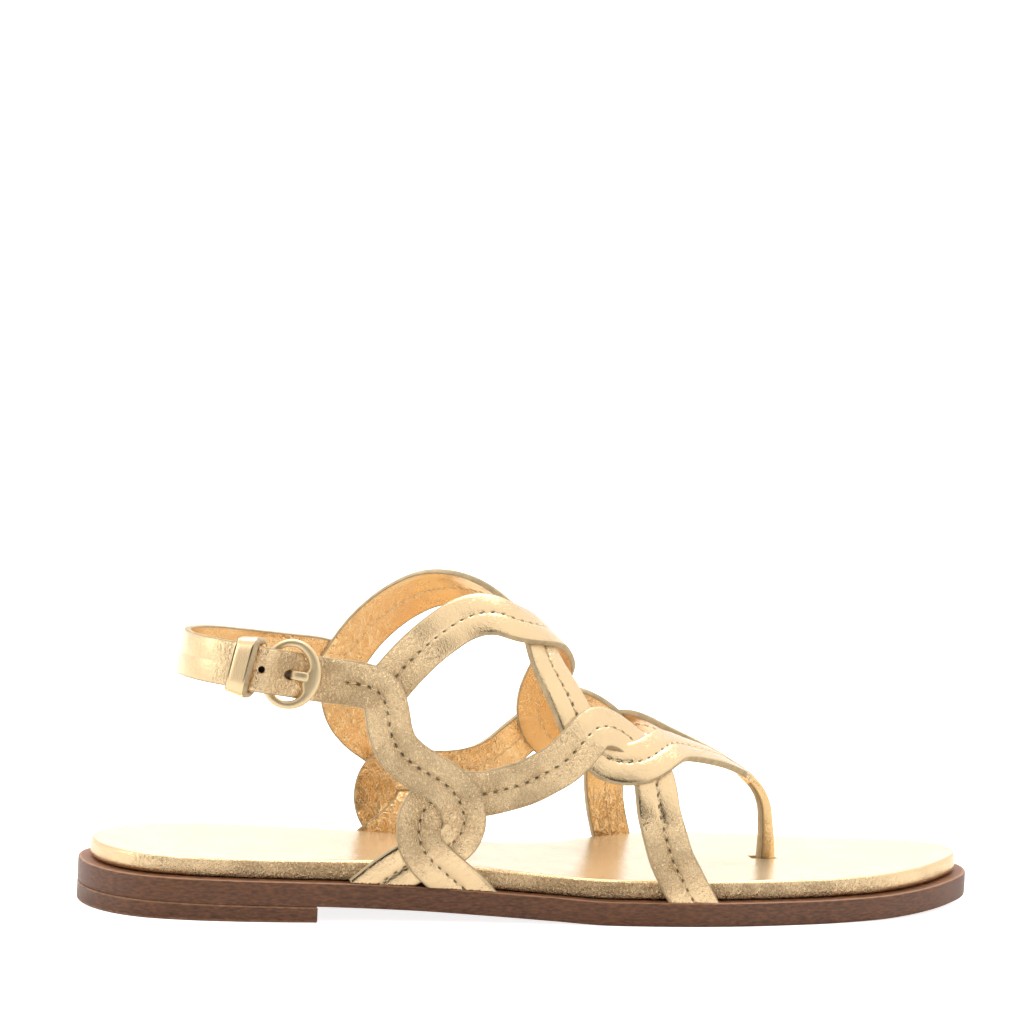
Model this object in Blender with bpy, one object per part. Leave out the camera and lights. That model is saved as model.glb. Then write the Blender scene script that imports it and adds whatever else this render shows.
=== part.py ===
"""Toe post sandal for the right foot.

Shapes are worked out with the heel at x = 0, the toe along +X, the inner side of the
foot along +Y and the floor at z = 0. Sizes are in millimetres and become metres as each
solid is made. The finished pieces are then moved so that the origin is on the floor,
halfway along and halfway across the shoe.
"""

import bmesh
import bpy
import numpy as np

# ------------------------------------------------------------------ sizes
OUTSOLE_THICK = 6.5
OUTSOLE_BEVEL = 0.6
FOOTBED_THICK = 5.1
LEDGE = 3.2
SEAT = 0.3
BREAST_X = 61.0
LIFT_PROUD = 0.1
STRAP_WIDTH = 11.8
STRAP_THICK = 2.0
ANKLE_CENTRE_X = 60.0
ANKLE_BACK = 36.0
ACROSS_POWER = 2.4
HEIGHT_POWER = 2.1
BODY_RISE = 24.0
ORIGIN_X = 125.5
ORIGIN_Y = 5.2

# outsole edge seen from above: x, outer side y, inner side y
PLAN = (
    (1.0, 3.0, 3.0),
    (2.8, -8.0, 12.0),
    (7.5, -16.0, 18.8),
    (14.0, -21.4, 24.6),
    (25.0, -25.4, 29.0),
    (38.0, -27.6, 30.2),
    (53.0, -28.7, 28.2),
    (68.0, -29.0, 24.6),
    (84.0, -29.2, 20.5),
    (102.0, -29.7, 18.6),
    (120.0, -30.8, 21.5),
    (134.0, -32.2, 28.0),
    (147.0, -33.6, 36.3),
    (160.0, -34.3, 42.4),
    (174.0, -33.9, 44.8),
    (190.0, -31.9, 43.2),
    (206.0, -28.8, 39.5),
    (220.0, -24.6, 35.2),
    (232.0, -18.2, 30.5),
    (241.4, -10.4, 24.4),
    (248.0, -2.0, 16.4),
    (250.1, 7.0, 7.0),
)

# side view of the sole: x, underside z, extra footbed thickness
PROFILE = (
    (1.0, 5.0, 0.0),
    (30.0, 4.65, 0.0),
    (62.0, 4.2, 0.2),
    (85.0, 3.4, 0.8),
    (105.0, 2.2, 0.5),
    (125.0, 0.9, 0.0),
    (141.0, 0.0, 0.0),
    (195.0, 0.0, 0.0),
    (215.0, 0.25, 0.0),
    (232.0, 1.0, 0.0),
    (250.1, 2.5, 0.0),
)

# the last above the footbed: x, crest z, crest y, outer side y, inner side y
LAST = (
    (20.0, 120.0, 0.0, -25.0, 25.0),
    (60.0, 114.0, 0.0, -25.5, 25.0),
    (77.0, 103.0, 0.0, -26.5, 25.5),
    (97.0, 92.3, 0.0, -27.5, 25.5),
    (110.0, 85.2, 0.5, -28.5, 25.5),
    (118.0, 78.9, 1.0, -29.5, 26.5),
    (130.0, 68.2, 2.0, -31.0, 29.5),
    (140.0, 59.0, 3.0, -32.0, 32.5),
    (150.0, 52.3, 4.0, -32.5, 36.0),
    (160.0, 47.1, 4.5, -32.5, 39.0),
    (175.0, 40.2, 5.0, -31.5, 40.0),
    (186.0, 33.9, 5.0, -30.0, 39.0),
    (200.0, 29.0, 5.0, -28.0, 37.0),
)


# ------------------------------------------------------------------ curves
def steady(table, column, x):
    """Value of one column of a table at x, smooth and without overshoot."""
    rows = np.asarray(table, float)
    xs = rows[:, 0]
    ys = rows[:, column]
    step = np.diff(xs)
    slope = np.diff(ys) / step
    rate = np.zeros(len(xs))
    for i in range(1, len(xs) - 1):
        if slope[i - 1] * slope[i] > 0.0:
            first = 2.0 * step[i] + step[i - 1]
            second = step[i] + 2.0 * step[i - 1]
            rate[i] = (first + second) / (first / slope[i - 1] + second / slope[i])
    rate[0] = slope[0]
    rate[-1] = slope[-1]
    x = np.clip(np.asarray(x, float), xs[0], xs[-1])
    k = np.clip(np.searchsorted(xs, x) - 1, 0, len(xs) - 2)
    t = (x - xs[k]) / step[k]
    a = (1.0 + 2.0 * t) * (1.0 - t) ** 2
    b = t * (1.0 - t) ** 2
    c = t * t * (3.0 - 2.0 * t)
    d = t * t * (t - 1.0)
    return a * ys[k] + b * step[k] * rate[k] + c * ys[k + 1] + d * step[k] * rate[k + 1]


def flow(rows, count, space=3):
    """Evenly spaced points on a smooth curve through the rows."""
    rows = np.asarray(rows, float)
    chord = np.linalg.norm(np.diff(rows[:, :space], axis=0), axis=1)
    at = np.concatenate(([0.0], np.cumsum(chord)))
    rate = np.zeros_like(rows)
    for i in range(1, len(rows) - 1):
        before = at[i] - at[i - 1]
        after = at[i + 1] - at[i]
        back = (rows[i] - rows[i - 1]) / before
        ahead = (rows[i + 1] - rows[i]) / after
        rate[i] = (back * after + ahead * before) / (before + after)
    rate[0] = (rows[1] - rows[0]) / (at[1] - at[0])
    rate[-1] = (rows[-1] - rows[-2]) / (at[-1] - at[-2])
    u = np.linspace(0.0, at[-1], 1200)
    k = np.clip(np.searchsorted(at, u) - 1, 0, len(at) - 2)
    wide = (at[k + 1] - at[k])[:, None]
    t = (u[:, None] - at[k][:, None]) / wide
    fine = (1.0 + 2.0 * t) * (1.0 - t) ** 2 * rows[k]
    fine = fine + t * (1.0 - t) ** 2 * wide * rate[k]
    fine = fine + t * t * (3.0 - 2.0 * t) * rows[k + 1]
    fine = fine + t * t * (t - 1.0) * wide * rate[k + 1]
    run = np.concatenate(([0.0], np.cumsum(np.linalg.norm(np.diff(fine[:, :space], axis=0), axis=1))))
    want = np.linspace(0.0, run[-1], count)
    return np.stack([np.interp(want, run, fine[:, c]) for c in range(rows.shape[1])], axis=1)


def plan_loop(fine=400):
    """Closed outsole edge, from the heel back by the outer side round the toe."""
    rows = np.asarray(PLAN, float)
    outer = rows[:, (0, 1)]
    inner = rows[-2:0:-1, (0, 2)]
    ring = np.concatenate((outer, inner))
    wrap = np.concatenate((ring[-3:], ring, ring[:4]))
    path = flow(wrap, fine + 120, space=2)
    gap = np.linalg.norm(path - ring[0], axis=1)
    half = len(path) // 2
    start = int(np.argmin(gap[:half]))
    stop = half + int(np.argmin(gap[half:]))
    return path[start:stop]


def halves(inset, count):
    """Outer and inner edge points, both from heel back to toe tip, moved in by inset."""
    ring = plan_loop()
    ahead = np.roll(ring, -2, axis=0) - np.roll(ring, 2, axis=0)
    ahead = ahead / np.linalg.norm(ahead, axis=1)[:, None]
    inward = np.stack((-ahead[:, 1], ahead[:, 0]), axis=1)
    moved = ring + inward * inset
    back = int(np.argmin(moved[:, 0]))
    moved = np.roll(moved, -back, axis=0)
    tip = int(np.argmax(moved[:, 0]))
    outer = moved[: tip + 1]
    inner = np.concatenate((moved[:1], moved[:tip - 1:-1]))
    wave = 0.5 - 0.5 * np.cos(np.linspace(0.0, np.pi, count))
    even = np.linspace(0.0, 1.0, count)
    share = 0.55 * wave + 0.45 * even
    sides = []
    for edge in (outer, inner):
        run = np.concatenate(([0.0], np.cumsum(np.linalg.norm(np.diff(edge, axis=0), axis=1))))
        at = share * run[-1]
        sides.append(np.stack((np.interp(at, run, edge[:, 0]), np.interp(at, run, edge[:, 1])), axis=1))
    return sides[0], sides[1]


def edge_at(x, inset):
    """Outer and inner side y of the plan at x, moved in by inset."""
    outer, inner = halves(inset, 160)
    return np.interp(x, outer[:, 0], outer[:, 1]), np.interp(x, inner[:, 0], inner[:, 1])


def under_z(x):
    return steady(PROFILE, 1, x)


def ledge_z(x):
    return under_z(x) + OUTSOLE_THICK


def footbed_z(x):
    return ledge_z(x) + SEAT + FOOTBED_THICK + steady(PROFILE, 2, x)


# ------------------------------------------------------------------ the last
WALL_OUT, WALL_IN = halves(LEDGE - SEAT, 160)


def last_level(p):
    """Value that is 1 on the skin of the last, less inside and more outside."""
    x = p[..., 0]
    y = p[..., 1]
    z = p[..., 2]
    floor = footbed_z(x)
    crest = steady(LAST, 1, x)
    middle = steady(LAST, 2, x)
    up = np.clip((z - floor) / BODY_RISE, 0.0, 1.0)
    up = up * up * (3.0 - 2.0 * up)
    near = np.interp(x, WALL_OUT[:, 0], WALL_OUT[:, 1]) * (1.0 - up) + steady(LAST, 3, x) * up
    far = np.interp(x, WALL_IN[:, 0], WALL_IN[:, 1]) * (1.0 - up) + steady(LAST, 4, x) * up
    half = np.where(y < middle, middle - near, far - middle)
    across = (np.abs(y - middle) / half) ** ACROSS_POWER
    height = (np.clip(z - floor, 0.0, None) / (crest - floor)) ** HEIGHT_POWER
    heel = (np.clip(ANKLE_CENTRE_X - x, 0.0, None) / ANKLE_BACK) ** 2.2
    return across + height + heel


def last_normal(p):
    """Slope of the level, as a vector."""
    step = 0.05
    parts = []
    for axis in range(3):
        move = np.zeros(3)
        move[axis] = step
        parts.append((last_level(p + move) - last_level(p - move)) / (2.0 * step))
    return np.stack(parts, axis=-1)


def onto_last(p):
    """Points moved to the skin of the last, with the outward direction there."""
    p = np.array(p, float)
    for _ in range(14):
        slope = last_normal(p)
        size = np.linalg.norm(slope, axis=-1) + 1e-9
        move = np.clip((1.0 - last_level(p)) / size, -2.5, 2.5)
        p = p + slope / size[..., None] * move[..., None]
    slope = last_normal(p)
    return p, slope / (np.linalg.norm(slope, axis=-1)[..., None] + 1e-9)


# ------------------------------------------------------------------ straps
# each row: x, y, z near the last, then lift above the last in strap layers
OUTER_ANKLE = (
    (36.5, -20.5, 68.3, 1.4),
    (38.6, -21.5, 68.0, 1.8),
    (40.6, -22.5, 67.8, 2.6),
    (42.6, -23.2, 67.5, 3.5),
    (45.0, -24.0, 67.1, 3.85),
    (47.2, -24.5, 66.8, 3.5),
    (49.4, -25.0, 66.5, 2.45),
    (51.6, -25.5, 66.2, 1.35),
    (53.6, -26.0, 65.9, 0.5),
    (55.4, -26.0, 65.6, 0.1),
    (57.4, -26.0, 65.3, 0.0),
    (59.5, -26.0, 65.0, 0.0),
    (64.0, -26.0, 64.5, 0.0),
    (68.5, -26.0, 64.0, 0.3),
    (72.5, -26.5, 63.3, 0.8),
    (75.4, -26.5, 61.8, 1.0),
    (77.2, -27.0, 59.2, 1.0),
    (78.1, -27.5, 55.5, 1.0),
    (78.9, -28.0, 51.3, 1.0),
    (80.6, -28.5, 47.3, 1.0),
    (84.2, -29.0, 43.6, 1.0),
    (89.0, -29.5, 40.6, 1.0),
    (93.8, -29.5, 37.8, 1.0),
    (97.2, -29.5, 34.4, 0.95),
    (99.2, -29.5, 30.2, 0.6),
    (99.6, -29.5, 26.0, 0.2),
    (97.8, -29.0, 22.3, 0.0),
    (93.6, -28.6, 19.6, 0.0),
    (88.6, -28.5, 17.4, 0.0),
    (83.6, -28.5, 14.6, 0.0),
    (78.6, -28.5, 11.0, 0.0),
    (73.0, -28.5, 6.4, 0.0),
)

OUTER_CURL = (
    (106.0, -29.0, 3.4, 0.1),
    (100.4, -29.0, 9.3, 0.2),
    (97.0, -29.0, 12.0, 0.5),
    (94.2, -28.8, 14.4, 0.85),
    (91.6, -28.6, 16.6, 1.0),
    (89.3, -28.6, 19.2, 1.0),
    (87.8, -28.6, 22.2, 1.0),
    (87.4, -28.6, 25.4, 0.75),
    (88.0, -28.8, 28.8, 0.3),
    (90.0, -29.0, 32.2, 0.0),
    (94.0, -29.4, 34.6, 0.0),
    (99.0, -30.0, 35.0, 0.0),
    (104.5, -30.2, 35.0, 0.0),
    (110.0, -30.5, 36.4, 0.0),
    (116.0, -30.5, 38.4, 0.0),
    (121.5, -30.2, 41.2, 0.1),
    (126.0, -29.4, 43.8, 0.4),
    (129.4, -28.2, 46.8, 0.8),
    (132.2, -26.2, 49.6, 1.0),
    (135.6, -23.8, 51.9, 1.0),
    (139.4, -22.2, 52.2, 1.0),
    (143.2, -21.2, 51.1, 0.8),
    (147.0, -21.2, 48.8, 0.4),
    (150.2, -22.6, 45.0, 0.05),
    (152.0, -25.0, 41.0, 0.0),
    (152.5, -28.0, 36.4, 0.0),
    (152.8, -30.5, 31.0, 0.0),
    (154.2, -32.2, 25.4, 0.0),
    (156.2, -33.0, 18.6, 0.0),
    (159.6, -33.3, 12.2, 0.0),
    (165.0, -33.4, 3.0, 0.0),
)

INNER_ANKLE = (
    (46.6, -24.6, 66.9, 0.0),
    (42.0, -23.4, 67.4, 0.0),
    (36.0, -20.0, 68.0, 0.0),
    (30.5, -14.0, 68.3, 0.0),
    (27.0, -6.5, 68.4, 0.0),
    (26.0, 0.5, 68.2, 0.0),
    (27.3, 7.5, 67.9, 0.0),
    (31.0, 14.5, 67.4, 0.0),
    (37.0, 20.3, 66.8, 0.0),
    (44.5, 23.6, 65.8, 0.0),
    (53.0, 24.8, 64.8, 0.0),
    (61.0, 25.0, 64.0, 0.0),
    (66.0, 25.2, 63.4, 0.3),
    (70.0, 25.4, 62.4, 0.8),
    (72.8, 25.5, 60.8, 1.0),
    (74.4, 25.6, 58.0, 1.0),
    (75.1, 25.6, 54.4, 1.0),
    (75.8, 25.6, 50.2, 1.0),
    (77.6, 25.5, 46.0, 1.0),
    (81.2, 25.4, 42.2, 1.0),
    (86.0, 25.2, 39.0, 1.0),
    (90.8, 25.0, 36.2, 1.0),
    (94.4, 24.6, 32.8, 0.95),
    (96.6, 23.0, 28.6, 0.6),
    (96.6, 21.2, 24.0, 0.2),
    (94.4, 19.6, 20.2, 0.0),
    (90.4, 18.8, 17.0, 0.0),
    (86.0, 18.6, 13.6, 0.0),
    (81.6, 18.9, 9.6, 0.0),
    (76.6, 19.8, 4.6, 0.0),
)

INNER_CURL = (
    (103.0, 16.6, 3.4, 0.1),
    (97.6, 16.6, 9.3, 0.2),
    (94.3, 16.8, 12.0, 0.5),
    (91.6, 17.2, 14.4, 0.85),
    (89.0, 17.8, 16.6, 1.0),
    (86.8, 18.6, 19.2, 1.0),
    (85.3, 19.8, 22.0, 1.0),
    (84.9, 21.2, 25.0, 0.75),
    (85.6, 22.8, 28.2, 0.3),
    (87.8, 24.0, 31.2, 0.1),
    (92.0, 24.4, 31.8, 0.1),
    (97.0, 24.8, 31.4, 0.05),
    (102.5, 25.0, 31.0, 0.0),
    (108.5, 25.2, 31.4, 0.0),
    (114.5, 25.6, 33.0, 0.05),
    (120.4, 26.2, 35.8, 0.45),
    (125.6, 26.8, 39.6, 0.9),
    (129.8, 26.9, 43.1, 1.0),
    (133.6, 25.9, 46.9, 1.0),
    (137.4, 24.4, 49.8, 1.0),
    (141.4, 23.2, 50.3, 1.0),
    (145.2, 23.1, 49.2, 0.8),
    (148.6, 24.0, 47.2, 0.4),
    (151.0, 26.4, 43.4, 0.05),
    (152.2, 29.4, 38.6, 0.0),
    (152.6, 32.4, 33.0, 0.0),
    (152.9, 35.0, 27.0, 0.0),
    (153.6, 37.0, 20.6, 0.0),
    (155.4, 38.4, 13.6, 0.0),
    (159.0, 39.4, 3.0, 0.0),
)

INSTEP_OUTER = (
    (76.5, -26.5, 61.2, 0.05),
    (79.2, -25.5, 64.4, 0.05),
    (83.4, -24.2, 69.0, 0.05),
    (88.4, -22.6, 73.6, 0.05),
    (94.0, -20.4, 77.6, 0.05),
    (99.6, -18.0, 80.6, 0.1),
    (104.6, -16.4, 81.8, 0.5),
    (109.4, -15.4, 81.4, 0.95),
    (114.2, -14.2, 79.6, 1.0),
    (118.8, -11.2, 77.8, 1.0),
    (123.0, -6.2, 75.6, 1.0),
    (126.6, 0.2, 72.8, 0.95),
    (129.4, 6.2, 69.0, 0.7),
    (131.0, 11.6, 64.8, 0.35),
    (131.3, 15.8, 60.8, 0.1),
    (130.7, 19.4, 56.8, 0.05),
    (130.2, 22.6, 52.8, 0.05),
    (130.4, 24.8, 49.0, 0.05),
    (131.8, 26.6, 45.0, 0.05),
    (134.6, 28.2, 41.4, 0.05),
    (138.4, 29.6, 39.4, 0.05),
    (142.6, 30.2, 38.8, 0.25),
    (146.6, 29.8, 39.6, 0.75),
    (150.4, 28.2, 41.4, 1.0),
    (154.2, 25.7, 42.9, 0.94),
    (158.2, 22.1, 44.6, 0.9),
    (162.4, 18.0, 45.6, 0.5),
    (167.0, 14.2, 44.8, 0.2),
    (172.0, 11.0, 43.4, 0.15),
    (177.0, 8.2, 40.8, 0.15),
    (182.0, 6.6, 37.4, 0.15),
    (188.0, 5.2, 32.4, 0.15),
)

INSTEP_INNER = (
    (73.5, 25.4, 60.6, 0.05),
    (76.0, 24.6, 64.8, 0.05),
    (79.6, 23.4, 70.4, 0.05),
    (84.2, 21.6, 75.8, 0.05),
    (89.8, 18.8, 80.6, 0.05),
    (96.4, 15.0, 84.2, 0.05),
    (103.4, 11.0, 85.2, 0.05),
    (110.0, 7.4, 84.4, 0.05),
    (115.6, 3.6, 81.4, 0.05),
    (119.2, -1.2, 78.0, 0.05),
    (121.0, -6.8, 74.6, 0.05),
    (122.0, -11.8, 71.2, 0.05),
    (123.8, -15.6, 67.4, 0.05),
    (126.4, -18.2, 63.0, 0.05),
    (128.9, -20.6, 58.2, 0.0),
    (130.9, -22.6, 53.6, 0.0),
    (132.9, -24.4, 50.2, 0.0),
    (135.6, -26.0, 47.2, 0.0),
    (139.4, -27.2, 44.8, 0.0),
    (143.4, -27.0, 43.6, 0.4),
    (147.4, -25.8, 43.4, 0.9),
    (151.4, -23.4, 44.2, 1.0),
    (155.2, -19.8, 45.6, 1.0),
    (159.2, -15.3, 46.8, 0.7),
    (163.6, -11.3, 46.6, 0.3),
    (168.2, -7.6, 45.3, 0.05),
    (173.0, -4.0, 43.2, 0.0),
    (178.0, 0.2, 40.2, 0.0),
    (182.6, 3.4, 36.8, 0.0),
    (188.0, 4.6, 32.4, 0.0),
)


# ------------------------------------------------------------------ solids
MATERIALS = {
    "outsole_leather": ((0.13, 0.06, 0.035, 1.0), 0.45, 0.0),
    "lift_leather": ((0.11, 0.05, 0.03, 1.0), 0.45, 0.0),
    "footbed_leather": ((0.80, 0.66, 0.45, 1.0), 0.40, 0.6),
    "strap_leather": ((0.72, 0.55, 0.34, 1.0), 0.38, 0.8),
    "post_leather": ((0.78, 0.52, 0.26, 1.0), 0.45, 0.4),
    "keeper_leather": ((0.74, 0.58, 0.38, 1.0), 0.38, 0.8),
    "buckle_metal": ((0.80, 0.68, 0.46, 1.0), 0.25, 1.0),
    "prong_metal": ((0.78, 0.66, 0.42, 1.0), 0.25, 1.0),
}


def material(name):
    color, rough, metal = MATERIALS[name]
    made = bpy.data.materials.new(name)
    made.use_nodes = True
    shader = made.node_tree.nodes["Principled BSDF"]
    shader.inputs["Base Color"].default_value = color
    shader.inputs["Roughness"].default_value = rough
    shader.inputs["Metallic"].default_value = metal
    made.diffuse_color = color
    return made


def solid(name, verts, faces, slot):
    """Closed mesh from millimetre points."""
    mesh = bpy.data.meshes.new(name)
    mesh.from_pydata([tuple(float(c) * 0.001 for c in v) for v in verts], [], faces)
    work = bmesh.new()
    work.from_mesh(mesh)
    bmesh.ops.remove_doubles(work, verts=work.verts, dist=1e-6)
    bmesh.ops.recalc_face_normals(work, faces=work.faces)
    work.to_mesh(mesh)
    work.free()
    made = bpy.data.objects.new(name, mesh)
    bpy.context.scene.collection.objects.link(made)
    if slot:
        mesh.materials.append(material(slot))
    return made


def drop(made):
    mesh = made.data
    bpy.data.objects.remove(made)
    bpy.data.meshes.remove(mesh)


def combine(base, tool, kind):
    """Exact union or difference; the tool is used up."""
    change = base.modifiers.new("change", "BOOLEAN")
    change.solver = "EXACT"
    change.operation = kind
    change.object = tool
    graph = bpy.context.evaluated_depsgraph_get()
    done = bpy.data.meshes.new_from_object(base.evaluated_get(graph))
    old = base.data
    base.modifiers.clear()
    base.data = done
    bpy.data.meshes.remove(old)
    drop(tool)


def slab(name, rings, count, columns, slot):
    """Solid through rings stacked from the under edge to the upper edge.

    Each ring is an inset and a height rule; the first and last are filled across.
    """
    verts = []
    faces = []
    around = 2 * (count - 1)
    edge = []
    for inset, height in rings:
        outer, inner = halves(inset, count)
        loop = np.concatenate((outer, inner[-2:0:-1]))
        edge.append(len(verts))
        for x, y in loop:
            verts.append((x, y, float(height(x, y))))
    for low, high in zip(edge[:-1], edge[1:]):
        for i in range(around):
            j = (i + 1) % around
            faces.append((low + i, low + j, high + j, high + i))
    for base, (inset, height), flip in ((edge[0], rings[0], True), (edge[-1], rings[-1], False)):
        outer, inner = halves(inset, count)
        grid = []
        for i in range(count):
            row = [base + i]
            if 0 < i < count - 1:
                for c in range(1, columns):
                    share = c / columns
                    x, y = outer[i] * (1.0 - share) + inner[i] * share
                    row.append(len(verts))
                    verts.append((x, y, float(height(x, y))))
                row.append(base + around - i)
            grid.append(row)
        for i in range(count - 1):
            near = grid[i]
            far = grid[i + 1]
            for c in range(columns):
                a = near[c] if len(near) > 1 else near[0]
                b = near[c + 1] if len(near) > 1 else near[0]
                d = far[c] if len(far) > 1 else far[0]
                e = far[c + 1] if len(far) > 1 else far[0]
                face = [a, d, e, b]
                face = [v for k, v in enumerate(face) if v != face[k - 1]]
                faces.append(tuple(reversed(face)) if flip else tuple(face))
    return solid(name, verts, faces, slot)


def outsole():
    rings = (
        (OUTSOLE_BEVEL, lambda x, y: under_z(x)),
        (0.0, lambda x, y: under_z(x) + OUTSOLE_BEVEL),
        (0.0, lambda x, y: ledge_z(x) - OUTSOLE_BEVEL),
        (OUTSOLE_BEVEL, lambda x, y: ledge_z(x)),
    )
    return slab("outsole", rings, 44, 6, "outsole_leather")


def footbed():
    def low(x, y):
        return ledge_z(x) + SEAT

    def part(share):
        return lambda x, y: low(x, y) + share * (footbed_z(x) - low(x, y))

    edge_out, edge_in = halves(LEDGE + 1.3, 200)

    def top(x, y):
        outer = np.interp(x, edge_out[:, 0], edge_out[:, 1])
        inner = np.interp(x, edge_in[:, 0], edge_in[:, 1])
        half = max(0.5 * (inner - outer), 1.0)
        share = min(abs(y - 0.5 * (outer + inner)) / half, 1.0)
        return footbed_z(x) - 0.7 * (1.0 - share ** 2.5)

    rings = (
        (LEDGE + 1.0, low),
        (LEDGE + 0.25, part(0.14)),
        (LEDGE, part(0.4)),
        (LEDGE + 0.1, part(0.68)),
        (LEDGE + 0.5, part(0.9)),
        (LEDGE + 1.3, top),
    )
    made = slab("footbed", rings, 44, 6, "footbed_leather")
    combine(made, post_slot(), "DIFFERENCE")
    return made


def heel_lift():
    """Thin lift under the heel, cut square at the breast."""
    verts = []
    faces = []
    outer, inner = halves(-LIFT_PROUD, 200)
    stations = BREAST_X * np.array((0.0, 0.02, 0.06, 0.12, 0.2, 0.3, 0.42, 0.56, 0.7, 0.85, 1.0))
    stations = outer[0, 0] + (BREAST_X - outer[0, 0]) * stations / BREAST_X
    left = np.stack((stations, np.interp(stations, outer[:, 0], outer[:, 1])), axis=1)
    right = np.stack((stations, np.interp(stations, inner[:, 0], inner[:, 1])), axis=1)
    grids = []
    for high in (False, True):
        grid = []
        for i in range(len(stations)):
            row = []
            for c in range(7):
                share = c / 6.0
                x, y = left[i] * (1.0 - share) + right[i] * share
                z = float(under_z(x)) - SEAT if high else 0.0
                row.append(len(verts))
                verts.append((x, y, z))
                if i == 0:
                    break
            grid.append(row)
        grids.append(grid)
    for grid, flip in zip(grids, (True, False)):
        for i in range(len(stations) - 1):
            near = grid[i] if len(grid[i]) > 1 else grid[i] * 7
            far = grid[i + 1]
            for c in range(6):
                face = [near[c], far[c], far[c + 1], near[c + 1]]
                face = [v for k, v in enumerate(face) if v != face[k - 1]]
                faces.append(tuple(reversed(face)) if flip else tuple(face))
    low, high = grids
    for side in (0, -1):
        for i in range(len(stations) - 1):
            face = (low[i][side], low[i + 1][side], high[i + 1][side], high[i][side])
            faces.append(face)
    for c in range(6):
        faces.append((low[-1][c], low[-1][c + 1], high[-1][c + 1], high[-1][c]))
    return solid("heel_lift", verts, faces, "lift_leather")


def ribbon(name, table, spacing, layer=1.7, thick=STRAP_THICK):
    """Strap draped on the last along a table of points, thick outward."""
    rows = np.asarray(table, float)
    length = float(np.sum(np.linalg.norm(np.diff(rows[:, :3], axis=0), axis=1)))
    count = int(length / spacing) + 2
    path = flow(rows, count)
    centre, out = onto_last(path[:, :3])
    ahead = np.gradient(centre, axis=0)
    ahead = ahead / np.linalg.norm(ahead, axis=1)[:, None]
    side = np.cross(ahead, out)
    side = side / np.linalg.norm(side, axis=1)[:, None]
    lift = path[:, 3] * layer
    half = 0.5 * STRAP_WIDTH
    left, left_out = onto_last(centre - side * half)
    right, right_out = onto_last(centre + side * half)
    verts = []
    for i in range(count):
        up = out[i] * 0.4 + left_out[i] * 0.6
        down = out[i] * 0.4 + right_out[i] * 0.6
        row = (
            left[i] + up * lift[i],
            centre[i] + out[i] * lift[i],
            right[i] + down * lift[i],
            right[i] + down * (lift[i] + 0.65 * thick),
            right[i] - side[i] * 0.8 + down * (lift[i] + thick),
            centre[i] + out[i] * (lift[i] + thick),
            left[i] + side[i] * 0.8 + up * (lift[i] + thick),
            left[i] + up * (lift[i] + 0.65 * thick),
        )
        verts.extend(row)
    faces = []
    for i in range(count - 1):
        for k in range(8):
            j = (k + 1) % 8
            faces.append((8 * i + k, 8 * i + j, 8 * i + 8 + j, 8 * i + 8 + k))
    for base in (0, 8 * (count - 1)):
        faces.append((base, base + 1, base + 5, base + 6))
        faces.append((base + 1, base + 2, base + 4, base + 5))
        faces.append((base, base + 6, base + 7))
        faces.append((base + 2, base + 3, base + 4))
    return solid(name, verts, faces, None)


def ledge_tool():
    """Everything below the ledge that the strap ends stand on, less the seat."""
    xs = np.linspace(-20.0, 270.0, 88)
    ys = (-70.0, 90.0)
    verts = []
    for x in xs:
        top = float(ledge_z(x)) + SEAT
        for y in ys:
            verts.append((x, y, top))
            verts.append((x, y, -40.0))
    faces = []
    for i in range(len(xs) - 1):
        a = 4 * i
        b = a + 4
        faces.append((a, b, b + 2, a + 2))
        faces.append((a + 1, a + 3, b + 3, b + 1))
        faces.append((a, a + 1, b + 1, b))
        faces.append((a + 2, b + 2, b + 3, a + 3))
    last = 4 * (len(xs) - 1)
    faces.append((0, 2, 3, 1))
    faces.append((last, last + 1, last + 3, last + 2))
    return solid("ledge_tool", verts, faces, None)


# ------------------------------------------------------------------ buckle
RING_X = 52.1
RING_LONG = 6.85
RING_TALL = 8.4
RING_HALF = 0.95
RING_SWELL = 0.55
RING_THICK = 1.8
RING_FLOOR = 2.5
FOLD_THICK = 0.8
FOLD_WIDTH = 6.4
FOLD_SLACK = 0.6
PRONG_WIDE = 2.0
PRONG_THICK = 1.2
PRONG_UP = 3.35
KEEPER_X = 41.7
KEEPER_LONG = 6.0
KEEPER_THICK = 1.3
KEEPER_LEAN = 0.5


def seat_frame(x, reach):
    """Origin on the ankle strap line, with directions along, across and outward."""
    line = flow(np.asarray(OUTER_ANKLE, float)[:16], 200)
    skin, _ = onto_last(line[:, :3])
    middle = np.array([np.interp(x, skin[:, 0], skin[:, c]) for c in range(3)])
    behind = np.array([np.interp(x - reach, skin[:, 0], skin[:, c]) for c in range(3)])
    before = np.array([np.interp(x + reach, skin[:, 0], skin[:, c]) for c in range(3)])
    along = (before - behind) / np.linalg.norm(before - behind)
    _, out = onto_last(middle)
    across = np.cross(out, along)
    across = across / np.linalg.norm(across)
    out = np.cross(along, across)
    if across[2] < 0.0:
        across = -across
    origin = 0.5 * (behind + before)
    return origin, along, across, out


def placed(frame, points):
    origin, along, across, out = frame
    return [origin + along * t + across * s + out * n for t, s, n in points]


def box(frame, low, high):
    """Block between two corners given in a seat frame."""
    points = []
    for t in (low[0], high[0]):
        for s in (low[1], high[1]):
            for n in (low[2], high[2]):
                points.append((t, s, n))
    faces = ((0, 1, 3, 2), (4, 6, 7, 5), (0, 4, 5, 1), (2, 3, 7, 6), (0, 2, 6, 4), (1, 5, 7, 3))
    return solid("box", placed(frame, points), faces, None)


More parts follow.
